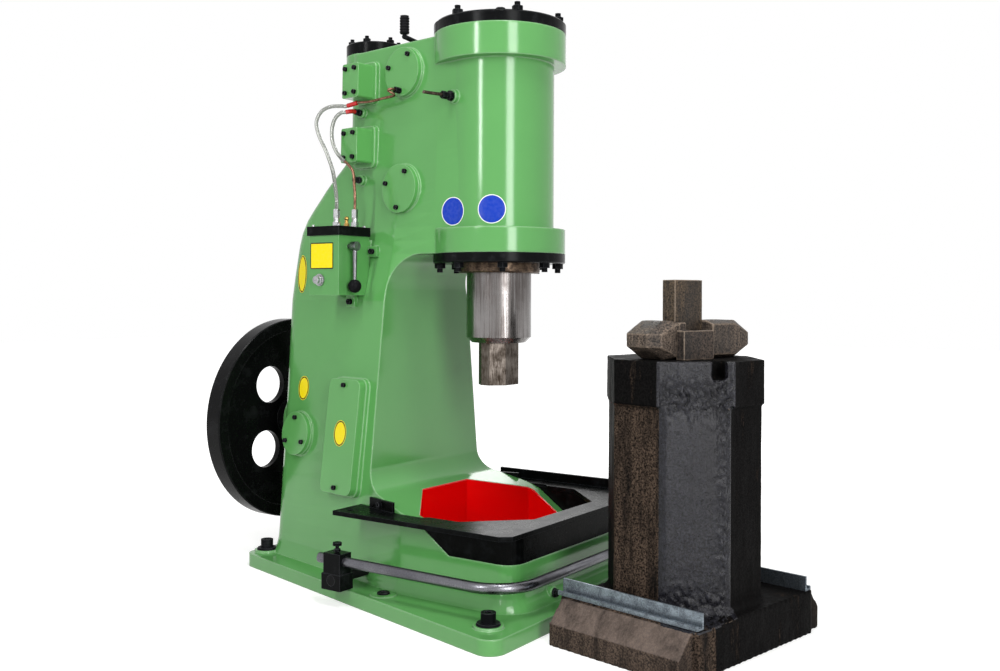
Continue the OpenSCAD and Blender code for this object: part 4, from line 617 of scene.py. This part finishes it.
def skin(piece, grain, relief, group=None, middle=0.5, hard=False):
    """Pushes a piece's skin in and out with cloud noise, of so many mm across and high, for good."""
    noise = bpy.data.textures.new(piece.name + "_skin", "CLOUDS")
    noise.noise_scale = grain / 1000.0
    noise.noise_depth = 3
    noise.noise_type = "HARD_NOISE" if hard else "SOFT_NOISE"
    push = piece.modifiers.new("skin", "DISPLACE")
    push.texture = noise
    push.texture_coords = "LOCAL"
    push.strength = relief / 1000.0
    push.mid_level = middle
    if group:
        push.vertex_group = group
    bpy.ops.object.modifier_apply(modifier="skin")


def grain_mesh(piece, size):
    """Turns a closed piece into an even mesh of so many mm, fine enough to carry a rough skin."""
    remesh = piece.modifiers.new("grain", "REMESH")
    remesh.mode = "VOXEL"
    remesh.voxel_size = size / 1000.0
    remesh.use_smooth_shade = True
    bpy.ops.object.modifier_apply(modifier="grain")


def finish_block(piece, node, material):
    """Gives a block its material and puts it in a CAD node's place."""
    piece.data.materials.clear()
    piece.data.materials.append(material)
    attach(piece, "hammer")
    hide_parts(node)


BEAD_RING = 0.1860
BEAD_RADIUS = 0.0085
FLOOR_FADE = 0.012
TORN_MIDDLE = COLLAR_BOTTOM + 0.02
TORN_SPREAD = 0.035
RIDGE_ALONG = 0.062
RIDGE_SPREAD = 0.014
RIDGE_SHARE = 0.40
DRIP_SPREAD = 0.05
DRIP_SHARE = 0.5
SLAG_LEAST = 0.05
SLAG_FADE = 0.012
SLAG_MARGIN = 0.004
block = copy_of("anvil", "anvil_block")
bpy.ops.object.select_all(action="DESELECT")
bpy.ops.mesh.primitive_circle_add(vertices=8, radius=BEAD_RING,
                                  location=(POST_CENTRE.x, POST_CENTRE.y, FOOT_TOP),
                                  rotation=(0.0, 0.0, POST_TURN + math.radians(22.5)))
bead = bpy.context.object
bpy.ops.object.convert(target="CURVE")
bead.data.bevel_depth = BEAD_RADIUS
bead.data.bevel_resolution = 2
bpy.ops.object.convert(target="MESH")
block.select_set(True)
bpy.context.view_layer.objects.active = block
bpy.ops.object.join()
grain_mesh(block, size=4.0)
whole = block.vertex_groups.new(name="whole")
burnt = block.vertex_groups.new(name="burnt")
for corner in block.data.vertices:
    whole.add([corner.index], min(1.0, max(0.0, corner.co.z / FLOOR_FADE)), "REPLACE")
    inside = corner.co - POST_CENTRE
    along = inside.dot(BURNT_ALONG)
    if inside.dot(BURNT_SIDE) > BURNT_FACE and abs(along) < BURNT_HALF and inside.z > FOOT_TOP:
        torn = math.exp(-((inside.z - TORN_MIDDLE) / TORN_SPREAD) ** 2)
        ridge = math.exp(-((along - RIDGE_ALONG) / RIDGE_SPREAD) ** 2) * RIDGE_SHARE
        drip = math.exp(-((inside.z - FOOT_TOP) / DRIP_SPREAD) ** 2) * DRIP_SHARE
        fade = min(1.0, (BURNT_HALF - abs(along)) / SLAG_FADE)
        burnt.add([corner.index], min(1.0, SLAG_LEAST + torn + ridge + drip) * fade, "REPLACE")
skin(block, grain=60, relief=1.6, group="whole")
skin(block, grain=9, relief=0.8, group="whole")
skin(block, grain=19, relief=24.0, group="burnt", middle=0.55, hard=True)
finish_block(block, "anvil", rough_iron("scaled_black_iron", "#060606", "#141313", "#635347", shine=0.015,
                                        edges=(0.570, 0.640), weathered_and_lit_side=True))
block.data.materials.append(rough_iron("burnt_iron_slag", "#050506", "#33333b", "#1b191a", shine=0.20,
                                       finish=(0.15, 0.28), edges=(0.590, 0.680), grit=0.0018,
                                       flecks=(0.38, 0.72)))
for face in block.data.polygons:
    inside = face.center - POST_CENTRE
    if inside.dot(BURNT_SIDE) > BURNT_FACE - SLAG_MARGIN and abs(inside.dot(BURNT_ALONG)) < BURNT_HALF \
            and inside.z > FOOT_TOP - SLAG_MARGIN:
        face.material_index = 1


# Die holder, its key and the lower die: hammered tool steel blocks, driven together on top of the anvil.
# They are scaled brown and black, their edges rubbed bright and painted lighter as highlights, with painted
# shade in hollows.
# The two rails that lie on the anvil's foot are folded steel, plated with zinc.
for node, grain, lumps, colours in (("die_holder", 2.6, 1.0, ("#171412", "#453d37", "#7d6d60")),
                                    ("die_key", 2.0, 3.0, ("#121010", "#332d29", "#5e5148")),
                                    ("lower_die", 2.0, 0.8, ("#17130f", "#3f352c", "#75634f"))):
    block = copy_of(node, node + "_block")
    grain_mesh(block, size=grain)
    skin(block, grain=24, relief=lumps)
    skin(block, grain=5, relief=0.4)
    finish_block(block, node, rough_iron("hammered_" + node + "_steel", *colours))
wear(bare_metal("zinc_rail_steel", "#8a949c", "#565c63", roughness=0.42, marks=(4, 30, 30), patch=30),
     "anvil_rails")


# Floor and background: a plain pale studio floor, lit softly from the left, the front, above and behind.
# The floor and the world look white to the camera and in reflections, and the floor keeps the shadow.
FLOOR_SIZE = 30.0
FLOOR_PALE = "#d4d4d2"
FLOOR_GREY = "#cdcdcb"
WHITE = linear("#ffffff")
SOFT_LIGHT = 0.32
GLOW_NEAR = 0.6
GLOW_FAR = 3.2


def sees_white(tree):
    """One for a ray from the camera, a shiny face or a clear piece, and nothing for a ray of light."""
    ray = add(tree, "LightPath", {})
    seen = add(tree, "Math", {0: ray.outputs["Is Camera Ray"], 1: ray.outputs["Is Glossy Ray"]},
               operation="MAXIMUM")
    return add(tree, "Math", {0: seen.outputs[0], 1: ray.outputs["Is Transmission Ray"]},
               operation="MAXIMUM").outputs[0]


bpy.ops.object.select_all(action="DESELECT")
bpy.ops.mesh.primitive_plane_add(size=FLOOR_SIZE)
floor = bpy.context.object
floor.name = "studio_floor"
floor_paint, tree, shader, place = start_material("pale_floor_paint")
mottle = add(tree, "TexNoise", {"Vector": place, "Scale": per_mm(900), "Detail": 2.0})
tint = add(tree, "Mix", {0: mottle.outputs["Fac"], 6: linear(FLOOR_PALE), 7: linear(FLOOR_GREY)},
           data_type="RGBA")
tree.links.new(tint.outputs[2], shader.inputs["Base Color"])
shader.inputs["Roughness"].default_value = 0.9
reach = add(tree, "VectorMath", {0: place}, operation="LENGTH")
lift = add(tree, "MapRange", {"Value": reach.outputs["Value"], "From Min": GLOW_NEAR, "From Max": GLOW_FAR,
                              "To Min": 0.50, "To Max": 1.0})
glow = add(tree, "Math", {0: sees_white(tree), 1: lift.outputs["Result"]}, operation="MULTIPLY")
tree.links.new(glow.outputs[0], shader.inputs["Emission Strength"])
shader.inputs["Emission Color"].default_value = WHITE
floor.data.materials.append(floor_paint)

world = bpy.data.worlds.new("studio_light")
bpy.context.scene.world = world
world.use_nodes = True
sky = world.node_tree
sky.nodes.clear()
white = add(sky, "Background", {"Color": WHITE, "Strength": 1.0})
soft = add(sky, "Background", {"Color": WHITE, "Strength": SOFT_LIGHT})
mixed = add(sky, "MixShader", {0: sees_white(sky), 1: soft.outputs[0], 2: white.outputs[0]})
add(sky, "OutputWorld", {"Surface": mixed.outputs[0]})

AIM = Vector((-0.05, 0.15, 0.75))
for name, spot, size, power in (("key_panel", (-3.6, 0.3, 2.6), (0.4, 2.4), 68.0),
                                ("front_panel", (-2.4, -3.6, 1.6), (1.1, 2.8), 112.0),
                                ("top_panel", (-0.7, -0.9, 4.2), (0.5, 1.8), 62.0),
                                ("rear_panel", (3.4, 2.4, 2.6), (1.6, 2.4), 48.0)):
    lamp = bpy.data.lights.new(name, "AREA")
    lamp.shape = "RECTANGLE"
    lamp.size, lamp.size_y = size
    lamp.energy = power
    panel = bpy.data.objects.new(name, lamp)
    bpy.context.collection.objects.link(panel)
    panel.location = spot
    panel.rotation_euler = (AIM - Vector(spot)).to_track_quat("-Z", "Y").to_euler()


# Camera: it stands in front and to the left of the machine, held level at half its height.
# Lens, shift and roll give the upright framing of the photograph.
CAMERA_PLACE = (-2.47885, -1.72351, 0.81513)
CAMERA_HEADING = math.radians(-55.25)
CAMERA_ROLL = math.radians(0.24)
SENSOR_WIDTH = 36.0
LENS_LENGTH = 38.56
LENS_SHIFT = -0.0396
lens = bpy.data.cameras.new("photo_camera")
lens.sensor_width = SENSOR_WIDTH
lens.sensor_fit = "HORIZONTAL"
lens.lens = LENS_LENGTH
lens.shift_y = LENS_SHIFT
camera = bpy.data.objects.new("photo_camera", lens)
bpy.context.collection.objects.link(camera)
camera.matrix_world = (Matrix.Translation(CAMERA_PLACE) @ Matrix.Rotation(CAMERA_HEADING, 4, "Z")
                       @ Matrix.Rotation(math.radians(90), 4, "X") @ Matrix.Rotation(CAMERA_ROLL, 4, "Z"))
bpy.context.scene.camera = camera
bpy.context.scene.view_settings.view_transform = "Standard"
